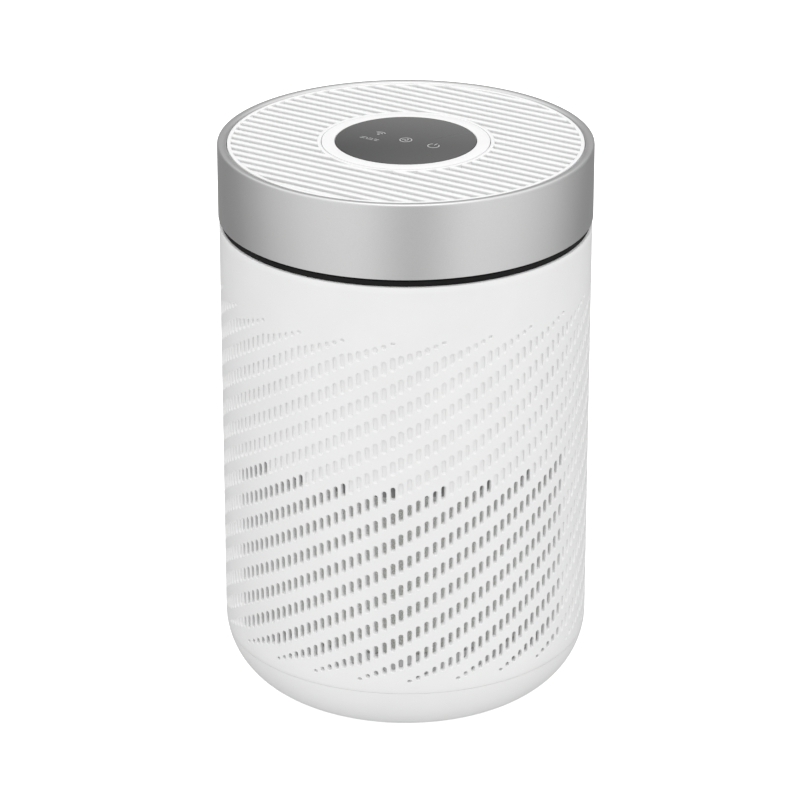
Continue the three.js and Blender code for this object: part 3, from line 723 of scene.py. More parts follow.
    def rim(self, grid_z, end_z, edge):
        """Closes the wall at one end, from the outside round to the inside."""
        inward = math.copysign(edge, end_z - grid_z)
        rows = [(0, grid_z), (0, end_z - inward)]
        rows += [(edge * 0.3, end_z - inward * 0.3), (edge, end_z)]
        rows += [(WALL - 0.3, end_z), (WALL, end_z - inward * 0.4), (WALL, grid_z)]
        borders = list(product(range(SECTORS), range(COLUMNS)))
        loops = [[self.grid(depth, *border, z) for border in borders] for depth, z in rows]
        for first, second in zip(loops, loops[1:]):
            self.shape.strip(first, second)


piece("shell", ShellBuilder().build(), SHELL_WHITE, "housing", "outer_shell")


# ---- base cover ----


def base_dish():
    """The rounded bottom: one arc outside, one inside, and a sunk middle."""
    outside = SEAM_Z - FLUSH
    outer_end = -math.degrees(math.asin((FILLET_Z - outside) / BASE_FILLET))
    inside = BASE_FILLET - FLOOR_THICK
    inner_end = -math.degrees(math.asin((FILLET_Z - outside) / inside))
    outline = [(0, BASE_BOTTOM + 0.6), (24, BASE_BOTTOM + 0.6), (25, BASE_BOTTOM)]
    outline += arc(FLAT_RADIUS, FILLET_Z, BASE_FILLET, -90, outer_end, 28)
    outline += arc(FLAT_RADIUS, FILLET_Z, inside, inner_end, -90, 20)
    outline += [(0, BASE_BOTTOM + FLOOR_THICK)]
    return turned(outline)


LUGS = 3
LUG_DEGREES = 12
TWIST_DEGREES = 18
NOTCH_SPARE = 1.5
LUG_BOTTOM, LUG_TOP = 44, 50
SPIGOT_INNER, SPIGOT_OUTER = 99.5, 102.5
SPIGOT_BOTTOM, SPIGOT_TOP = 22, 54
COLLAR_INNER = 103.4
LUG_RADIUS = 106.2
SEAT_INNER, SEAT_OUTER = 70, 73


def base_fittings():
    """The spigot with its bayonet lugs, and the ring that the filter stands on."""
    shape = tube(SPIGOT_INNER, SPIGOT_OUTER, SPIGOT_BOTTOM, SPIGOT_TOP, 0.8)
    seat_top = extent("filter_bottom_cap")[1] - GAP
    shape.add(tube(SEAT_INNER, SEAT_OUTER, BASE_BOTTOM + FLOOR_THICK - 0.5, seat_top, 0.8))
    half = LUG_DEGREES / 2
    lug = wedge(SPIGOT_OUTER - 0.5, LUG_RADIUS, -half, half, LUG_BOTTOM, LUG_TOP, 0.5)
    return shape.add_round(lug, LUGS)


def lock_collar():
    """The collar in the shell, with an open notch for each lug."""
    radius, bottom, top = extent("lock_collar")
    notch_top = LUG_TOP + 1
    shape = tube(COLLAR_INNER, radius, notch_top, top)
    start = LUG_DEGREES / 2 + NOTCH_SPARE
    end = 360 / LUGS - start - TWIST_DEGREES
    return shape.add_round(wedge(COLLAR_INNER, radius, start, end, bottom, notch_top + 0.5), LUGS)


piece("collar", lock_collar(), INNER_GREY, "housing", "lock_collar")
piece("base_dish", base_dish().add(base_fittings()), SHELL_WHITE, "base", "base_cover", sharp=40)


def rubber_foot(node):
    """A disc with a bevelled rim and a shallow hollow in its sole."""
    low, high, middle = block(node)
    radius = (high.x - low.x) / 2
    outline = [(0, 0.25), (radius * 0.55, 0.25), (radius * 0.6, 0.0), (radius - 0.7, 0.0)]
    outline += [(radius, 0.6), (radius, high.z), (0, high.z)]
    return turned(soften(outline, 0.25), SMALL).moved(middle.x, middle.y)


for number in range(1, 5):
    piece(f"rubber_foot_{number}", rubber_foot(f"foot_{number}"), RUBBER, "base", f"foot_{number}")


# ---- filter cartridge ----

MEDIA_RADIUS, MEDIA_BOTTOM, MEDIA_TOP = extent("filter_media")
NET_RADIUS = extent("prefilter_net")[0]
CORE_RADIUS = extent("carbon_core")[0]
CAP_RADIUS, CAP_BOTTOM, CAP_TOP = extent("filter_bottom_cap")
PLEATS = 84
PAPER_THICK = 0.6
BEAD_HEIGHTS = (0.2, 0.5, 0.8)  # of the glue beads that hold the pleats apart, as shares
HEM = 3.0  # height of the net's hems
CAP_SKIRT = 2.2  # how far the caps reach over the net
CORE_INNER = 53


def pleated_paper():
    """One sheet folded round the core, each fold rounded, with glue beads round the outside."""
    inner, outer = CORE_RADIUS + 1.2, MEDIA_RADIUS - 0.8
    outer_fold = ((outer - 1, -0.16), (outer, 0), (outer - 1, 0.16))
    inner_fold = ((inner + 1, 0.80), (inner, 1.0), (inner + 1, 1.20))
    half = math.pi / PLEATS
    path = []
    for i in range(PLEATS):
        turn = 2 * math.pi * i / PLEATS
        path += [polar(radius, turn + half * share) for radius, share in outer_fold + inner_fold]
    shape = band(path, PAPER_THICK, MEDIA_BOTTOM, MEDIA_TOP, closed=True)
    for share in BEAD_HEIGHTS:
        z = MEDIA_BOTTOM + (MEDIA_TOP - MEDIA_BOTTOM) * share
        shape.add(tube(outer - 1.2, outer + 0.3, z - 0.8, z + 0.8, 0.5))
    return shape


def woven_net():
    """Crossed slanting strands between two hems."""
    strands, steps = 200, 12
    thick = 0.34  # half of a strand
    apart = 0.25  # how far one set of strands lies outside the other, as a share of thick
    flat = 1.4  # a strand's width over its depth
    middle = NET_RADIUS - thick - 0.1
    shape = tube(middle - 0.5, NET_RADIUS, MEDIA_BOTTOM, MEDIA_BOTTOM + HEM, 0.3)
    shape.add(tube(middle - 0.5, NET_RADIUS, MEDIA_TOP - HEM, MEDIA_TOP, 0.3))
    low, high = MEDIA_BOTTOM + 1, MEDIA_TOP - 1
    for lean in (-1, 1):
        for strand in range(strands):
            loops = []
            for step in range(steps + 1):
                z = low + (high - low) * step / steps
                angle = 2 * math.pi * strand / strands + lean * (z - low) / middle
                ring = []
                for radial, along in ((1, 0), (0, 1), (-1, 0), (0, -1)):
                    radius = middle + (radial + apart * lean) * thick
                    turn = angle + along * thick / middle * flat
                    ring.append((*polar(radius, turn), z))
                loops.append(ring)
            shape.add(lofted(loops))
    return shape


def bottom_cap():
    """A closed cap with a sunk middle, and a skirt round the net."""
    seat, sunk = 68, 1.2
    skirt, net = CAP_TOP + CAP_SKIRT, NET_RADIUS + 0.05
    outline = [(0, CAP_BOTTOM + sunk), (seat - 2, CAP_BOTTOM + sunk), (seat, CAP_BOTTOM)]
    outline += [(CAP_RADIUS, CAP_BOTTOM), (CAP_RADIUS, skirt), (net, skirt)]
    outline += [(net, CAP_TOP), (0, CAP_TOP)]
    return turned(soften(outline, 0.6, 2))


def top_cap():
    """An open cap with a shallow groove round its top."""
    radius, bottom, top = extent("filter_top_cap")
    skirt, net = bottom - CAP_SKIRT, NET_RADIUS + 0.05
    outline = [(CORE_INNER, bottom), (net, bottom), (net, skirt), (radius, skirt), (radius, top)]
    outline += [(80, top), (79, top - 0.8), (77, top - 0.8), (76, top), (CORE_INNER, top)]
    return turned(soften(outline, 0.6, 2))


def lip_seal():
    """A flat foam ring with one raised lip."""
    radius, bottom, top = extent("filter_seal")
    inner = 62
    middle = (radius + inner) / 2
    rim, foot = bottom + 1.6, bottom + 1.8
    outline = [(inner, bottom), (radius, bottom), (radius, rim), (middle + 3, foot)]
    outline += [(middle + 1.5, top), (middle - 1.5, top), (middle - 3, foot), (inner, rim)]
    return turned(soften(outline, 0.8))


def carbon_tube():
    """The carbon core, its outside ribbed by the mould."""
    groove, pitch = 0.5, 6.0
    outline = [(CORE_INNER, MEDIA_BOTTOM), (CORE_RADIUS, MEDIA_BOTTOM)]
    z = MEDIA_BOTTOM + pitch / 2
    while z < MEDIA_TOP - pitch / 2:
        for up, inward in ((0, 0), (1, groove), (2, groove), (3, 0)):
            outline.append((CORE_RADIUS - inward, z + up))
        z += pitch
    outline += [(CORE_RADIUS, MEDIA_TOP), (CORE_INNER, MEDIA_TOP)]
    return turned(outline, ROUND)


piece("pleats", pleated_paper(), PAPER, "filter", "filter_media", sharp=50)
piece("net", woven_net(), NET, "filter", "prefilter_net", sharp=60)
piece("cap_bottom", bottom_cap(), INNER_GREY, "filter", "filter_bottom_cap")
piece("cap_top", top_cap(), INNER_GREY, "filter", "filter_top_cap")
piece("seal", lip_seal(), BLACK_AND_GROOVE_SHADE, "filter", "filter_seal")
piece("carbon", carbon_tube(), CARBON, "filter", "carbon_core")


# ---- groove and silver ring ----

RIM_INNER = 104.6
RIM_ROUND = 1.4


def gasket():
    """A flat near-black ring with a step for the edge of the silver ring; its black is painted
    shade that stands in for the shadow in the recessed groove.
    """
    radius, bottom, top = extent("groove_gasket")
    inner, step = 104, 0.8
    outline = [(inner, bottom), (radius, bottom), (radius, top - 1.1), (radius - step, top - 0.9)]
    outline += [(radius - step, top), (inner, top)]
    return turned(soften(outline, 0.2, 2))


def silver_ring():
    """The band, its rounded rim, and a top face that falls away gently inwards."""
    thick, edge = 2.7, 0.5
    inner, shoulder = RING_RADIUS - thick, TOP_Z - 12
    outline = [(inner, RING_BOTTOM + 0.3), (inner + 0.4, RING_BOTTOM)]
    outline += [(RING_RADIUS - edge, RING_BOTTOM)]
    outline += arc(RING_RADIUS - edge, RING_BOTTOM + edge, edge, -90, 0, 4)[1:]
    outline += arc(RING_RADIUS - RIM_ROUND, TOP_Z - RIM_ROUND, RIM_ROUND, 0, 80, 6)
    for inward, fall in ((2.6, 0), (1.6, 0.12), (0.8, 0.4), (0.25, 0.75), (0, 1.2)):
        outline.append((RIM_INNER + inward, TOP_Z - fall))
    outline += [(RIM_INNER, shoulder), (inner, shoulder - thick)]
    return turned(outline, RING_STEPS)


# painted shade: a near-black ring in the groove in place of the shadow there
piece("gasket", gasket(), BLACK_AND_GROOVE_SHADE, "housing", "groove_gasket")
piece("ring", silver_ring(), SILVER, "housing", "silver_ring", sharp=38)


# ---- top grille ----

BEZEL_RADIUS, BEZEL_BOTTOM, BEZEL_TOP = extent("panel_bezel")
SLAT_PITCH = 7.6
SLAT_WIDTH = 3.8
BORDER = 2.3


def slat(y, start, end, bottom, top):
    """A bar along X whose top is rounded, its ends cut to the rings it runs into."""
    half = SLAT_WIDTH / 2
    round_top = min(1.0, half * 0.7)
    section = [(half, bottom), *arc(half - round_top, top - round_top, round_top, 0, 90, 4)]
    section += [(-a, b) for a, b in reversed(section)]
    return lofted([[(limit(y + a), y + a, z) for a, z in section] for limit in (start, end)])


def on_ring(radius, side):
    """A function that gives the x at which a line at y meets a ring."""
    return lambda y: side * math.sqrt(max(radius**2 - y**2, 0))


def barred_ring(node, border, first_row):
    """Two rings with straight slats between them, the rows starting first_row off the middle."""
    outer, bottom, top = extent(node)
    inner = BEZEL_RADIUS + GAP
    shape = tube(outer - border, outer, bottom, top, 0.5)
    shape.add(tube(inner, inner + border, bottom, top, 0.5))
    reach = outer - border / 2
    eye = inner + border / 2
    y = first_row
    rows = []
    while y < outer - border - SLAT_WIDTH / 2:
        rows += [y] if y == 0 else [y, -y]
        y += SLAT_PITCH
    for y in rows:
        spans = [(on_ring(reach, -1), on_ring(reach, 1))]
        if abs(y) + SLAT_WIDTH / 2 < eye:
            spans = [(on_ring(eye, side), on_ring(reach, side)) for side in (-1, 1)]
        for start, end in spans:
            shape.add(slat(y, start, end, bottom + 0.4, top - 0.15))
    return shape


piece("grille", barred_ring("top_grille", BORDER, 0), TRIM_WHITE, "housing", "top_grille")
guard = barred_ring("outlet_guard", 2 * BORDER, SLAT_PITCH / 2)
piece("guard", guard, TRIM_WHITE, "housing", "outlet_guard")


# ---- control panel ----

GLASS_RADIUS, GLASS_BOTTOM, GLASS_TOP = extent("touch_glass")


def panel_bezel():
    """The flat ring round the glass, with a ledge under it."""
    bore, ledge = GLASS_RADIUS + GAP, GLASS_RADIUS - 2.5
    ledge_top = GLASS_BOTTOM - GAP
    outline = [(ledge, BEZEL_BOTTOM), (BEZEL_RADIUS, BEZEL_BOTTOM), (BEZEL_RADIUS, BEZEL_TOP - 0.1)]
    outline += [(bore, BEZEL_TOP), (bore, ledge_top), (ledge, ledge_top)]
    return turned(soften(outline, 0.5))


piece("bezel", panel_bezel(), TRIM_WHITE, "housing", "panel_bezel")
piece("glass", disc(GLASS_RADIUS, GLASS_BOTTOM, GLASS_TOP, 0.35), GLASS, "housing", "touch_glass")

ICON_GAP = 19
STROKE = 0.5


def stroke(path, width=STROKE, closed=False):
    """A printed line, only just proud of the glass."""
    return band(path, width, GLASS_TOP - 0.05, GLASS_TOP + 0.04, closed)


def power_icon(x, y):
    """An open ring with a short bar in its gap."""
    shape = stroke(arc(x, y, 3.3, 125, 415, 40))
    return shape.add(stroke([(x, y + 1.2), (x, y + 4.3)]))


def fan_icon(x, y):
    """Three spiral blades in a ring."""
    shape = stroke(arc(x, y, 3.5, 0, 351, 40), closed=True)
    for turn in (0, 120, 240):
        blade = []
        for k in range(8):
            along, up = polar(0.5 + 0.25 * k, math.radians(turn + 14 * k))
            blade.append((x + along, y + up))
        shape.add(stroke(blade, 0.42))
    return shape


def signal_icon(x, y):
    """Two arcs over a dot."""
    shape = stroke(arc(x, y - 2.0, 4.4, 45, 135, 20), 0.45)
    shape.add(stroke(arc(x, y - 2.0, 2.7, 45, 135, 16), 0.45))
    return shape.add(stroke(arc(x, y - 1.6, 0.5, 0, 330, 11), 0.5, closed=True))


def dash_rows(x, y):
    """Two short rows of dashes where the real panel has small print."""
    shape = Shape()
    for row, lengths in enumerate(((4.4, 2.6, 3.2), (3.2, 4.6, 2.2))):
        start = x - 6.2
        for length in lengths:
            height = y - 1.9 * row
            shape.add(stroke([(start, height), (start + length, height)], 0.45))
            start += length + 1.0
    return shape


icons = power_icon(ICON_GAP, 0)
icons.add(fan_icon(0, 0))
icons.add(signal_icon(-ICON_GAP, 1.5))
icons.add(dash_rows(-ICON_GAP, -8.5))
piece("icons", icons, ICON, "housing")


# ---- fan deck and duct ----

EYE_INNER, EYE_OUTER = 54, 57  # lip of the fan's inlet
DUCT_INNER, DUCT_OUTER = 95, 97.5
PLATE = 3  # thickness of the deck and of the duct's flange
DECK_RIBS = 24
GUSSETS = 12


def fan_deck():
    """Plate with a rounded inlet lip and stiffening ribs."""
    radius, bottom, lip_top = extent("fan_deck")
    top = bottom + PLATE
    outline = [(EYE_INNER, lip_top), (EYE_INNER, bottom + 5), (EYE_OUTER, bottom), (radius, bottom)]
    outline += [(radius, top), (EYE_OUTER + 4, top), (EYE_OUTER, top + 3), (EYE_OUTER, lip_top)]
    shape = turned(soften(outline, 1.4, 4))
    rib = box((EYE_OUTER + 3, DUCT_INNER - 2), (-0.7, 0.7), (top - 0.3, top + 2.4))
    return shape.add_round(rib, DECK_RIBS)


def inlet_guard():
    """Rings and crossed bars under the inlet."""
    outer, bottom, top = extent("inlet_guard")
    shape = tube(outer - 2, outer, bottom, top, 0.6)
    for radius in (17, 35):
        shape.add(tube(radius, radius + 1.6, bottom, top, 0.5, ROUND))
    for turn in (0, 60, 120):
        bar = box((1 - outer, outer - 1), (-0.8, 0.8), (bottom + 0.1, top - 0.1))
        shape.add(bar.moved(turn=turn))
    return shape


def fan_duct():
    """Duct wall on a flange, with gussets between the two."""
    flange, bottom, top = extent("fan_duct")
    face = bottom + PLATE
    outline = [(DUCT_INNER, bottom), (flange, bottom), (flange, face), (DUCT_OUTER, face)]
    outline += [(DUCT_OUTER, top), (DUCT_INNER, top)]
    shape = turned(soften(outline, 0.8, 4))
    gusset = box((DUCT_OUTER - 0.3, flange - 1.5), (-0.8, 0.8), (face - 0.2, face + 7))
    return shape.add_round(gusset, GUSSETS, first=180 / GUSSETS)


def chassis_ring():
    """The ring between duct and shell, with a wider foot."""
    radius, bottom, top = extent("chassis_ring")
    inner, neck, foot_top = DUCT_OUTER + GAP, 103.7, bottom + 4
    outline = [(inner, bottom), (radius, bottom), (radius, foot_top), (neck, foot_top)]
    outline += [(neck, top), (inner, top)]
    return turned(soften(outline, 0.6))


SCREW_HEAD = 1.7


def screw(side, shank):
    """A pan-head screw with a thread and a round drive recess; side is 1 if its head is on top."""
    core, thread, head, recess = 1.1, 1.4, 3.0, 0.9
    outline = [(0, -shank)]
    turns = round(shank / 0.7)
    for number in range(turns):
        start = -shank + number * shank / turns
        outline += [(core, start), (thread, start + shank / turns / 2)]
    outline += [(thread, 0), (head, 0), (head, 0.7), (head - 0.5, SCREW_HEAD - 0.2)]
    outline += [(head - 1.1, SCREW_HEAD), (recess + 0.2, SCREW_HEAD), (recess, 0.7), (0, 0.6)]
    return turned([(radius, side * z) for radius, z in outline], SMALL)


def place_screws(name, count, side):
    for number in range(1, count + 1):
        node = f"{name}_{number}"
        low, high, middle = block(node)
        seat = high.z - SCREW_HEAD if side > 0 else low.z + SCREW_HEAD
        made = screw(side, high.z - low.z - SCREW_HEAD).moved(middle.x, middle.y, seat)
        piece(node + "_thread", made, STEEL, "housing", node)


piece("deck", fan_deck(), TRIM_WHITE, "housing", "fan_deck")
piece("eye_guard", inlet_guard(), INNER_GREY, "housing", "inlet_guard")
piece("duct", fan_duct(), TRIM_WHITE, "housing", "fan_duct")
piece("chassis", chassis_ring(), TRIM_WHITE, "housing", "chassis_ring")
place_screws("deck_screw", 4, -1)
place_screws("motor_screw", 3, 1)


# ---- motor, vanes and rotor ----

MOTOR_RADIUS, MOTOR_BOTTOM, MOTOR_TOP = extent("motor_can")
BEARING_SEAT = 11
SHAFT_HOLE = 4.3
COILS = 9
VANES = 7
VANE_TILT = 22  # degrees
BLADES = 9
BLADE_SWEEP = 38  # degrees
FAN_RADIUS = 80
FAN_EYE = 58.5  # bore of the shroud
SHROUD_RISE = 6
BOSS_HEIGHT = 18


def motor_can():
    """A hollow can, open round the two bearings."""
    wall = 2
    low, high, inside = MOTOR_BOTTOM + wall, MOTOR_TOP - wall, MOTOR_RADIUS - wall
    outline = [(BEARING_SEAT, MOTOR_BOTTOM), (MOTOR_RADIUS, MOTOR_BOTTOM)]
    outline += [(MOTOR_RADIUS, MOTOR_TOP), (BEARING_SEAT, MOTOR_TOP)]
    outline += [(BEARING_SEAT, high), (inside, high), (inside, low), (BEARING_SEAT, low)]
    return turned(soften(outline, 1.2, 4), ROUND)


def stator_coils():
    """Coils in a laminated ring."""
    outer, bottom, top = extent("stator_core")
    shape = tube(outer - 3, outer, bottom + 2, top - 2, 0.3, ROUND)
    coil = wedge(15.2, outer - 2.6, -15, 15, bottom, top, 1.5)
    return shape.add_round(coil, COILS)


def bearing(node):
    """Two races with a sunk shield between them, on both faces."""
    outer, bottom, top = extent(node)
    bore, shield_inner, shield_outer = 4.05, 6.0, 8.8
    outline = []
    for z, inward in ((bottom, 0.4), (top, -0.4)):
        sunk = z + inward
        face = [(bore, z), (shield_inner - 0.2, z), (shield_inner, sunk)]
        face += [(shield_outer, sunk), (shield_outer + 0.2, z), (outer, z)]
        outline += face if z == bottom else face[::-1]
    return turned(outline, ROUND)


def stator_vane(inner, outer, bottom, top):
    """A tilted vane, thick in the middle and thin at both edges."""
    lean = -math.tan(math.radians(VANE_TILT))
    steps = 8
    loops = []
    for radius in (inner, (inner + outer) / 2, outer):
        left, right = [], []
        for i in range(steps + 1):
            share = i / steps
            z = bottom + (top - bottom) * share
            middle = lean * (z - (bottom + top) / 2)
            half = 0.3 + 0.7 * math.sin(math.pi * share)
            left.append((radius, middle - half, z))
            right.append((radius, middle + half, z))
        loops.append(left + right[::-1])
    return lofted(loops)


def vane_frame():
    """Hub cup round the motor, the vanes, and the ring that holds them in the duct."""
    radius, bottom, hub_top = extent("vane_frame")
    hub_inner = MOTOR_RADIUS + GAP
    hub_outer = hub_inner + 2.5
    under = MOTOR_TOP + GAP
    outline = [(hub_inner, bottom), (hub_outer, bottom), (hub_outer, hub_top)]
    outline += [(BEARING_SEAT, hub_top), (BEARING_SEAT, under), (hub_inner, under)]
    shape = turned(soften(outline, 0.7, 4), ROUND)
    shape.add(tube(radius - 2.7, radius, bottom + 2, MOTOR_TOP, 0.6))
    vane = stator_vane(hub_outer - 1, radius - 2, bottom + 4, MOTOR_TOP - 2)
    return shape.add_round(vane, VANES)


def impeller_blade(bottom, top):
    """A backward-curved blade whose lower edge follows the shroud."""
    steps = 14
    start, end, neck = 44, FAN_RADIUS - 1, FAN_EYE + 2
    loops = []
    for i in range(steps + 1):
        part = i / steps
        radius = start + (end - start) * part
        angle = -math.radians(BLADE_SWEEP) * part**0.8
        low = bottom + 1 + SHROUD_RISE * max(0, (radius - neck) / (FAN_RADIUS - neck))
        loop = []
        for side, z in ((-1, low), (1, low), (1, top - 1), (-1, top - 1)):
            loop.append((*polar(radius, angle + side * 0.8 / radius), z))
        loops.append(loop)
    return lofted(loops)


def impeller():
    """Boss and back plate, shroud ring, and the blades between them."""
    _, bottom, top = extent("impeller")
    neck, lip_top, back_bottom = FAN_EYE + 2, bottom + 4, top - 2
    boss_bottom = top - BOSS_HEIGHT
    rim = bottom + SHROUD_RISE
    shroud = [(FAN_EYE, lip_top), (FAN_EYE, bottom), (neck, bottom)]
    shroud += [(FAN_RADIUS, rim), (FAN_RADIUS, rim + 2), (neck, lip_top)]
    back = [(SHAFT_HOLE, boss_bottom), (12, boss_bottom), (16, top - 8), (30, back_bottom)]
    back += [(FAN_RADIUS, back_bottom), (FAN_RADIUS, top), (SHAFT_HOLE, top)]
    shape = turned(soften(shroud, 0.8, 4))
    shape.add(turned(soften(back, 0.8, 4)))
    return shape.add_round(impeller_blade(bottom, top), BLADES)


piece("can", motor_can(), STEEL, "housing", "motor_can")
piece("coils", stator_coils(), COPPER, "housing", "stator_core")
piece("bearing_low", bearing("lower_bearing"), STEEL, "housing", "lower_bearing")
piece("bearing_high", bearing("upper_bearing"), STEEL, "housing", "upper_bearing")
piece("vanes", vane_frame(), TRIM_WHITE, "housing", "vane_frame")
piece("fan_wheel", impeller(), INNER_GREY, "rotor", "impeller")
piece("shaft", disc(*extent("motor_shaft"), 0.6, steps=SMALL), STEEL, "rotor", "motor_shaft")
magnet = tube(SHAFT_HOLE, *extent("rotor_magnet"), 0.5, ROUND)
piece("magnet", magnet, BLACK_AND_GROOVE_SHADE, "rotor", "rotor_magnet")
hexagon_nut = tube(5.0, *extent("impeller_nut"), 0.6, 6)
piece("nut", hexagon_nut, STEEL, "rotor", "impeller_nut")


# ---- electronics ----

BOARD_THICK = 1.6
PIN_SPACING = 8.6


def panel_pod():
    """The bowl under the panel that keeps the electronics out of the air."""
    radius, bottom, top = extent("panel_pod")
    bevel, wall = 6, 2
    outline = [(0, bottom), (radius - bevel, bottom), (radius, bottom + bevel), (radius, top)]
    outline += [(radius - wall, top), (radius - wall, bottom + bevel)]
    outline += [(radius - bevel - wall, bottom + wall), (0, bottom + wall)]
    return turned(soften(outline, 1.4, 4))


def touch_board():
    """Round board with a light guide under each icon and small parts between them."""
    radius, bottom, guide_top = extent("touch_board")
    top = bottom + BOARD_THICK
    shape = disc(radius, bottom, top, 0.2, 2)
    guide = disc(4, top - 0.6, guide_top, 0.5, steps=SMALL)
    for x in (-ICON_GAP, 0, ICON_GAP):
        shape.add(guide.moved(x))
    small_part = box((24, 26.4), (-0.7, 0.7), (top - 0.1, top + 0.8))
    return shape.add_round(small_part, 10, first=18)


def main_board():
    """Upright board; its parts face outwards."""
    low, high, middle = block("main_board")
    face = low.y + BOARD_THICK
    board = prism(rounded_rectangle(2 * high.x, high.z - low.z, 2), 0, BOARD_THICK, 0.2)
    shape = board.facing_back(low.y, middle.z)

    def mount(part, x, up):
        shape.add(part.facing_back(face, low.z + up).moved(x))

    blocks = ((-10, 13, 16, 18, 4.2), (8, 34, 10, 12, 4.6), (-6, 51, 18, 10, 3))
    for x, up, wide, tall, deep in blocks:
        mount(prism(rounded_rectangle(wide, tall, 0.8), -0.2, deep - 0.3, 0.3), x, up)
    for up in (9, 16):
        mount(disc(3, -0.2, 4.3, 0.5, steps=SMALL), 12, up)
    for number in range(8):
        mount(prism(rounded_rectangle(1.2, 2.2, 0.2), -0.1, 0.8, 0.1), -18 + 3 * number, 24)
    return shape


def power_inlet():
    """Mains inlet: a frame round a socket with rounded ends."""
    low, high, middle = block("power_inlet")
    width, height = 2 * high.x, high.z - low.z
    socket = (17, 8.4, 4.1)
    stages = (
        (width, height, 1.5, high.y - low.y),
        (width, height, 1.5, 0.5),
        (width - 1, height - 1, 1.2, 0),
        (17.8, 9.2, 4.4, 0),
        (*socket, 0.5),
        (*socket, 9),
    )
    loops = []
    for wide, tall, corner, deep in stages:
        outline = rounded_rectangle(wide, tall, corner)
        loops.append([(x, high.y - deep, middle.z + z) for x, z in outline])
    return lofted(loops)


def inlet_pins():
    """Two round pins that stand on the socket's floor."""
    _, high, middle = block("power_inlet")
    pin = disc(1.2, 0, 8, 0.6, steps=SMALL).facing_back(high.y - 9.5, middle.z)
    return pin.moved(-PIN_SPACING / 2).add(pin.moved(PIN_SPACING / 2))


piece("pod", panel_pod(), TRIM_WHITE, "housing", "panel_pod")
piece("touch_electronics", touch_board(), BOARD, "housing", "touch_board")
piece("main_electronics", main_board(), BOARD, "housing", "main_board")
piece("mains_inlet", power_inlet(), BLACK_AND_GROOVE_SHADE, "housing", "power_inlet")
piece("mains_pins", inlet_pins(), STEEL, "housing")


# ---- pull tab: the one CAD node that shows as it is ----

tab_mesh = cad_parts["filter_pull_tab"].data
tab_mesh.materials.clear()
tab_mesh.materials.append(RIBBON)


# ---- floor, light and camera ----


CAMERA_AZIMUTH = 32.7
CAMERA_ELEVATION = 23.18
CAMERA_DISTANCE = 2.376
CAMERA_LENS = 178.57
AIM_HEIGHT = 0.1789
AIM_SIDE = -0.0034  # how far the camera aims beside the axis
SOFTBOX_SIDE = 1.2
SOFTBOX_WATTS = 3
FLOOR_GLOW = 0.55


def studio_floor():
    """A white floor that takes the object's soft shadow, and that the object doesn't reflect."""
    mesh = bpy.data.meshes.new("floor")
    reach = 6.0
    corners = [(-reach, -reach, 0), (reach, -reach, 0), (reach, reach, 0), (-reach, reach, 0)]
    mesh.from_pydata(corners, [], [(0, 1, 2, 3)])
    floor = bpy.data.objects.new("floor", mesh)
    bpy.context.scene.collection.objects.link(floor)
    pale = Finish("floor_pale", specular=0.0)
    pale.colour(pale.noise(2), grey(0.88), grey(0.90))
    pale.roughness(pale.noise(3), 0.8, 0.9)
    pale.glow(FLOOR_GLOW)
    mesh.materials.append(pale.material)
    floor.visible_diffuse = False
    floor.visible_glossy = False


def aimed(name, data, aim, azimuth, elevation, distance):
    """A light or camera at a distance from the point it faces."""
    a, e = math.radians(azimuth), math.radians(elevation)
    back = Vector((math.sin(a) * math.cos(e), -math.cos(a) * math.cos(e), math.sin(e)))
    made = bpy.data.objects.new(name, data)
    made.location = aim + back * distance
    made.rotation_euler = back.to_track_quat("Z", "Y").to_euler()
    bpy.context.scene.collection.objects.link(made)
    return made


def top_softbox():
    """A wide square light nearly overhead."""
    light = bpy.data.lights.new("top", "AREA")
    light.shape = "RECTANGLE"
    light.size = SOFTBOX_SIDE
    light.size_y = SOFTBOX_SIDE
    light.energy = SOFTBOX_WATTS
    aimed("top", light, Vector((0, 0, 0.2)), CAMERA_AZIMUTH, elevation=82, distance=1.6)


# Brightness of the studio's lower half, by degrees round the object from the front
SURROUND = ((0, 0.60), (36, 1.0), (62, 0.92), (90, 0.72), (112, 0.46), (135, 0.28), (180, 0.28))
# Brightness of the whole studio by height, from straight down to straight up
HEIGHT = ((-1.0, 0.95), (-0.25, 1.0), (0.2, 1.12), (1.0, 1.20))
EVEN_FROM = 0.35  # height at which the surroundings start to even out
EVEN_TO = 0.75
WORLD_STRENGTH = 1.08
STUDIO_TURN = CAMERA_AZIMUTH + 5


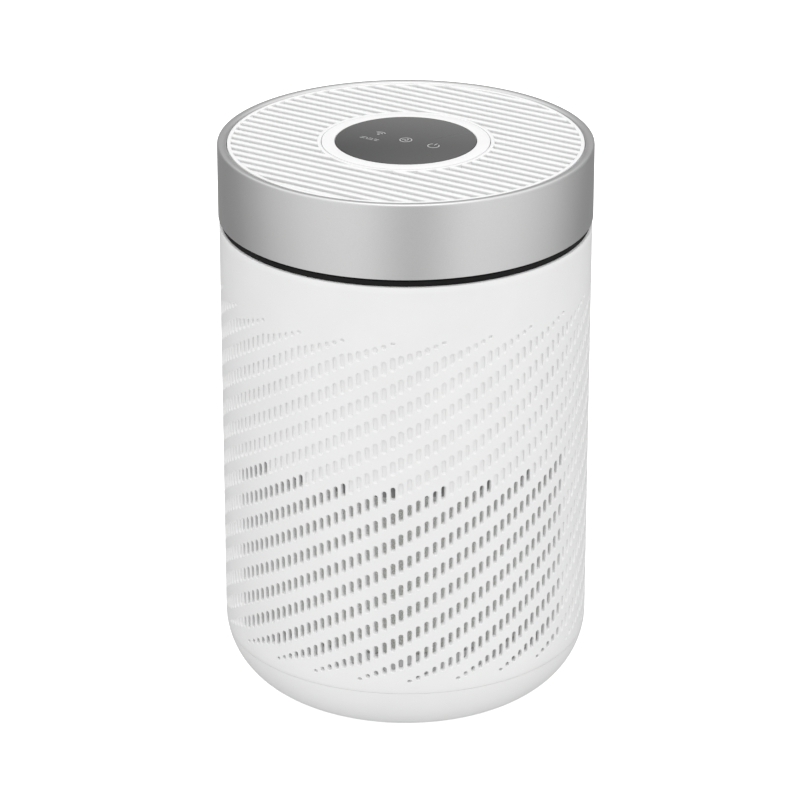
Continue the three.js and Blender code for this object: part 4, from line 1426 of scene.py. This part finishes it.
def studio_world():
    """Soft light from all round, palest at the sides. The camera sees it as plain white."""
    world = bpy.data.worlds.new("studio")
    world.use_nodes = True
    nodes = world.node_tree.nodes
    link = world.node_tree.links.new

    def math_node(operation, *values):
        node = nodes.new("ShaderNodeMath")
        node.operation = operation
        for socket, value in zip(node.inputs, values):
            if isinstance(value, (int, float)):
                socket.default_value = value
            else:
                link(value, socket)
        return node.outputs["Value"]

    def levels(factor, stops):
        """A value by factor. A ramp holds nothing above one, so it carries half of each value."""
        ramp = nodes.new("ShaderNodeValToRGB")
        ramp.color_ramp.interpolation = "EASE"
        while len(ramp.color_ramp.elements) < len(stops):
            ramp.color_ramp.elements.new(0.5)
        for element, (place, value) in zip(ramp.color_ramp.elements, stops):
            element.position = place
            element.color = (*grey(value / 2), 1)
        link(factor, ramp.inputs["Fac"])
        return math_node("MULTIPLY", ramp.outputs["Color"], 2.0)

    direction = nodes.new("ShaderNodeTexCoord").outputs["Generated"]
    turned_round = nodes.new("ShaderNodeVectorRotate")
    turned_round.rotation_type = "Z_AXIS"
    turned_round.inputs["Angle"].default_value = -math.radians(STUDIO_TURN)
    link(direction, turned_round.inputs["Vector"])
    axes = nodes.new("ShaderNodeSeparateXYZ")
    link(turned_round.outputs["Vector"], axes.inputs["Vector"])
    front = math_node("MULTIPLY", axes.outputs["Y"], -1.0)
    azimuth = math_node("ABSOLUTE", math_node("ARCTAN2", axes.outputs["X"], front))
    around = levels(math_node("DIVIDE", azimuth, math.pi), [(a / 180, v) for a, v in SURROUND])
    upward = math_node("MULTIPLY_ADD", axes.outputs["Z"], 0.5, 0.5)
    height = levels(upward, [((h + 1) / 2, v) for h, v in HEIGHT])
    evening = nodes.new("ShaderNodeMapRange")
    evening.interpolation_type = "SMOOTHSTEP"
    evening.inputs["From Min"].default_value = EVEN_FROM
    evening.inputs["From Max"].default_value = EVEN_TO
    link(axes.outputs["Z"], evening.inputs["Value"])
    evened = nodes.new("ShaderNodeMix")
    link(evening.outputs["Result"], evened.inputs["Factor"])
    link(around, evened.inputs["A"])
    evened.inputs["B"].default_value = 1.0
    falling = math_node("MULTIPLY", evened.outputs["Result"], height)
    strength = math_node("MULTIPLY", falling, WORLD_STRENGTH)
    link(strength, nodes["Background"].inputs["Strength"])

    white = nodes.new("ShaderNodeBackground")
    chosen = nodes.new("ShaderNodeMixShader")
    link(nodes.new("ShaderNodeLightPath").outputs["Is Camera Ray"], chosen.inputs["Fac"])
    link(nodes["Background"].outputs["Background"], chosen.inputs[1])
    link(white.outputs["Background"], chosen.inputs[2])
    white.inputs["Color"].default_value = (1, 1, 1, 1)
    nodes["Background"].inputs["Color"].default_value = (1, 1, 1, 1)
    link(chosen.outputs["Shader"], nodes["World Output"].inputs["Surface"])
    bpy.context.scene.world = world


def studio_camera():
    data = bpy.data.cameras.new("camera")
    data.lens = CAMERA_LENS
    turn = math.radians(CAMERA_AZIMUTH)
    aim = Vector((AIM_SIDE * math.cos(turn), AIM_SIDE * math.sin(turn), AIM_HEIGHT))
    camera = aimed("camera", data, aim, CAMERA_AZIMUTH, CAMERA_ELEVATION, CAMERA_DISTANCE)
    bpy.context.scene.camera = camera


studio_floor()
studio_world()
top_softbox()
studio_camera()
bpy.context.scene.view_settings.view_transform = "Standard"
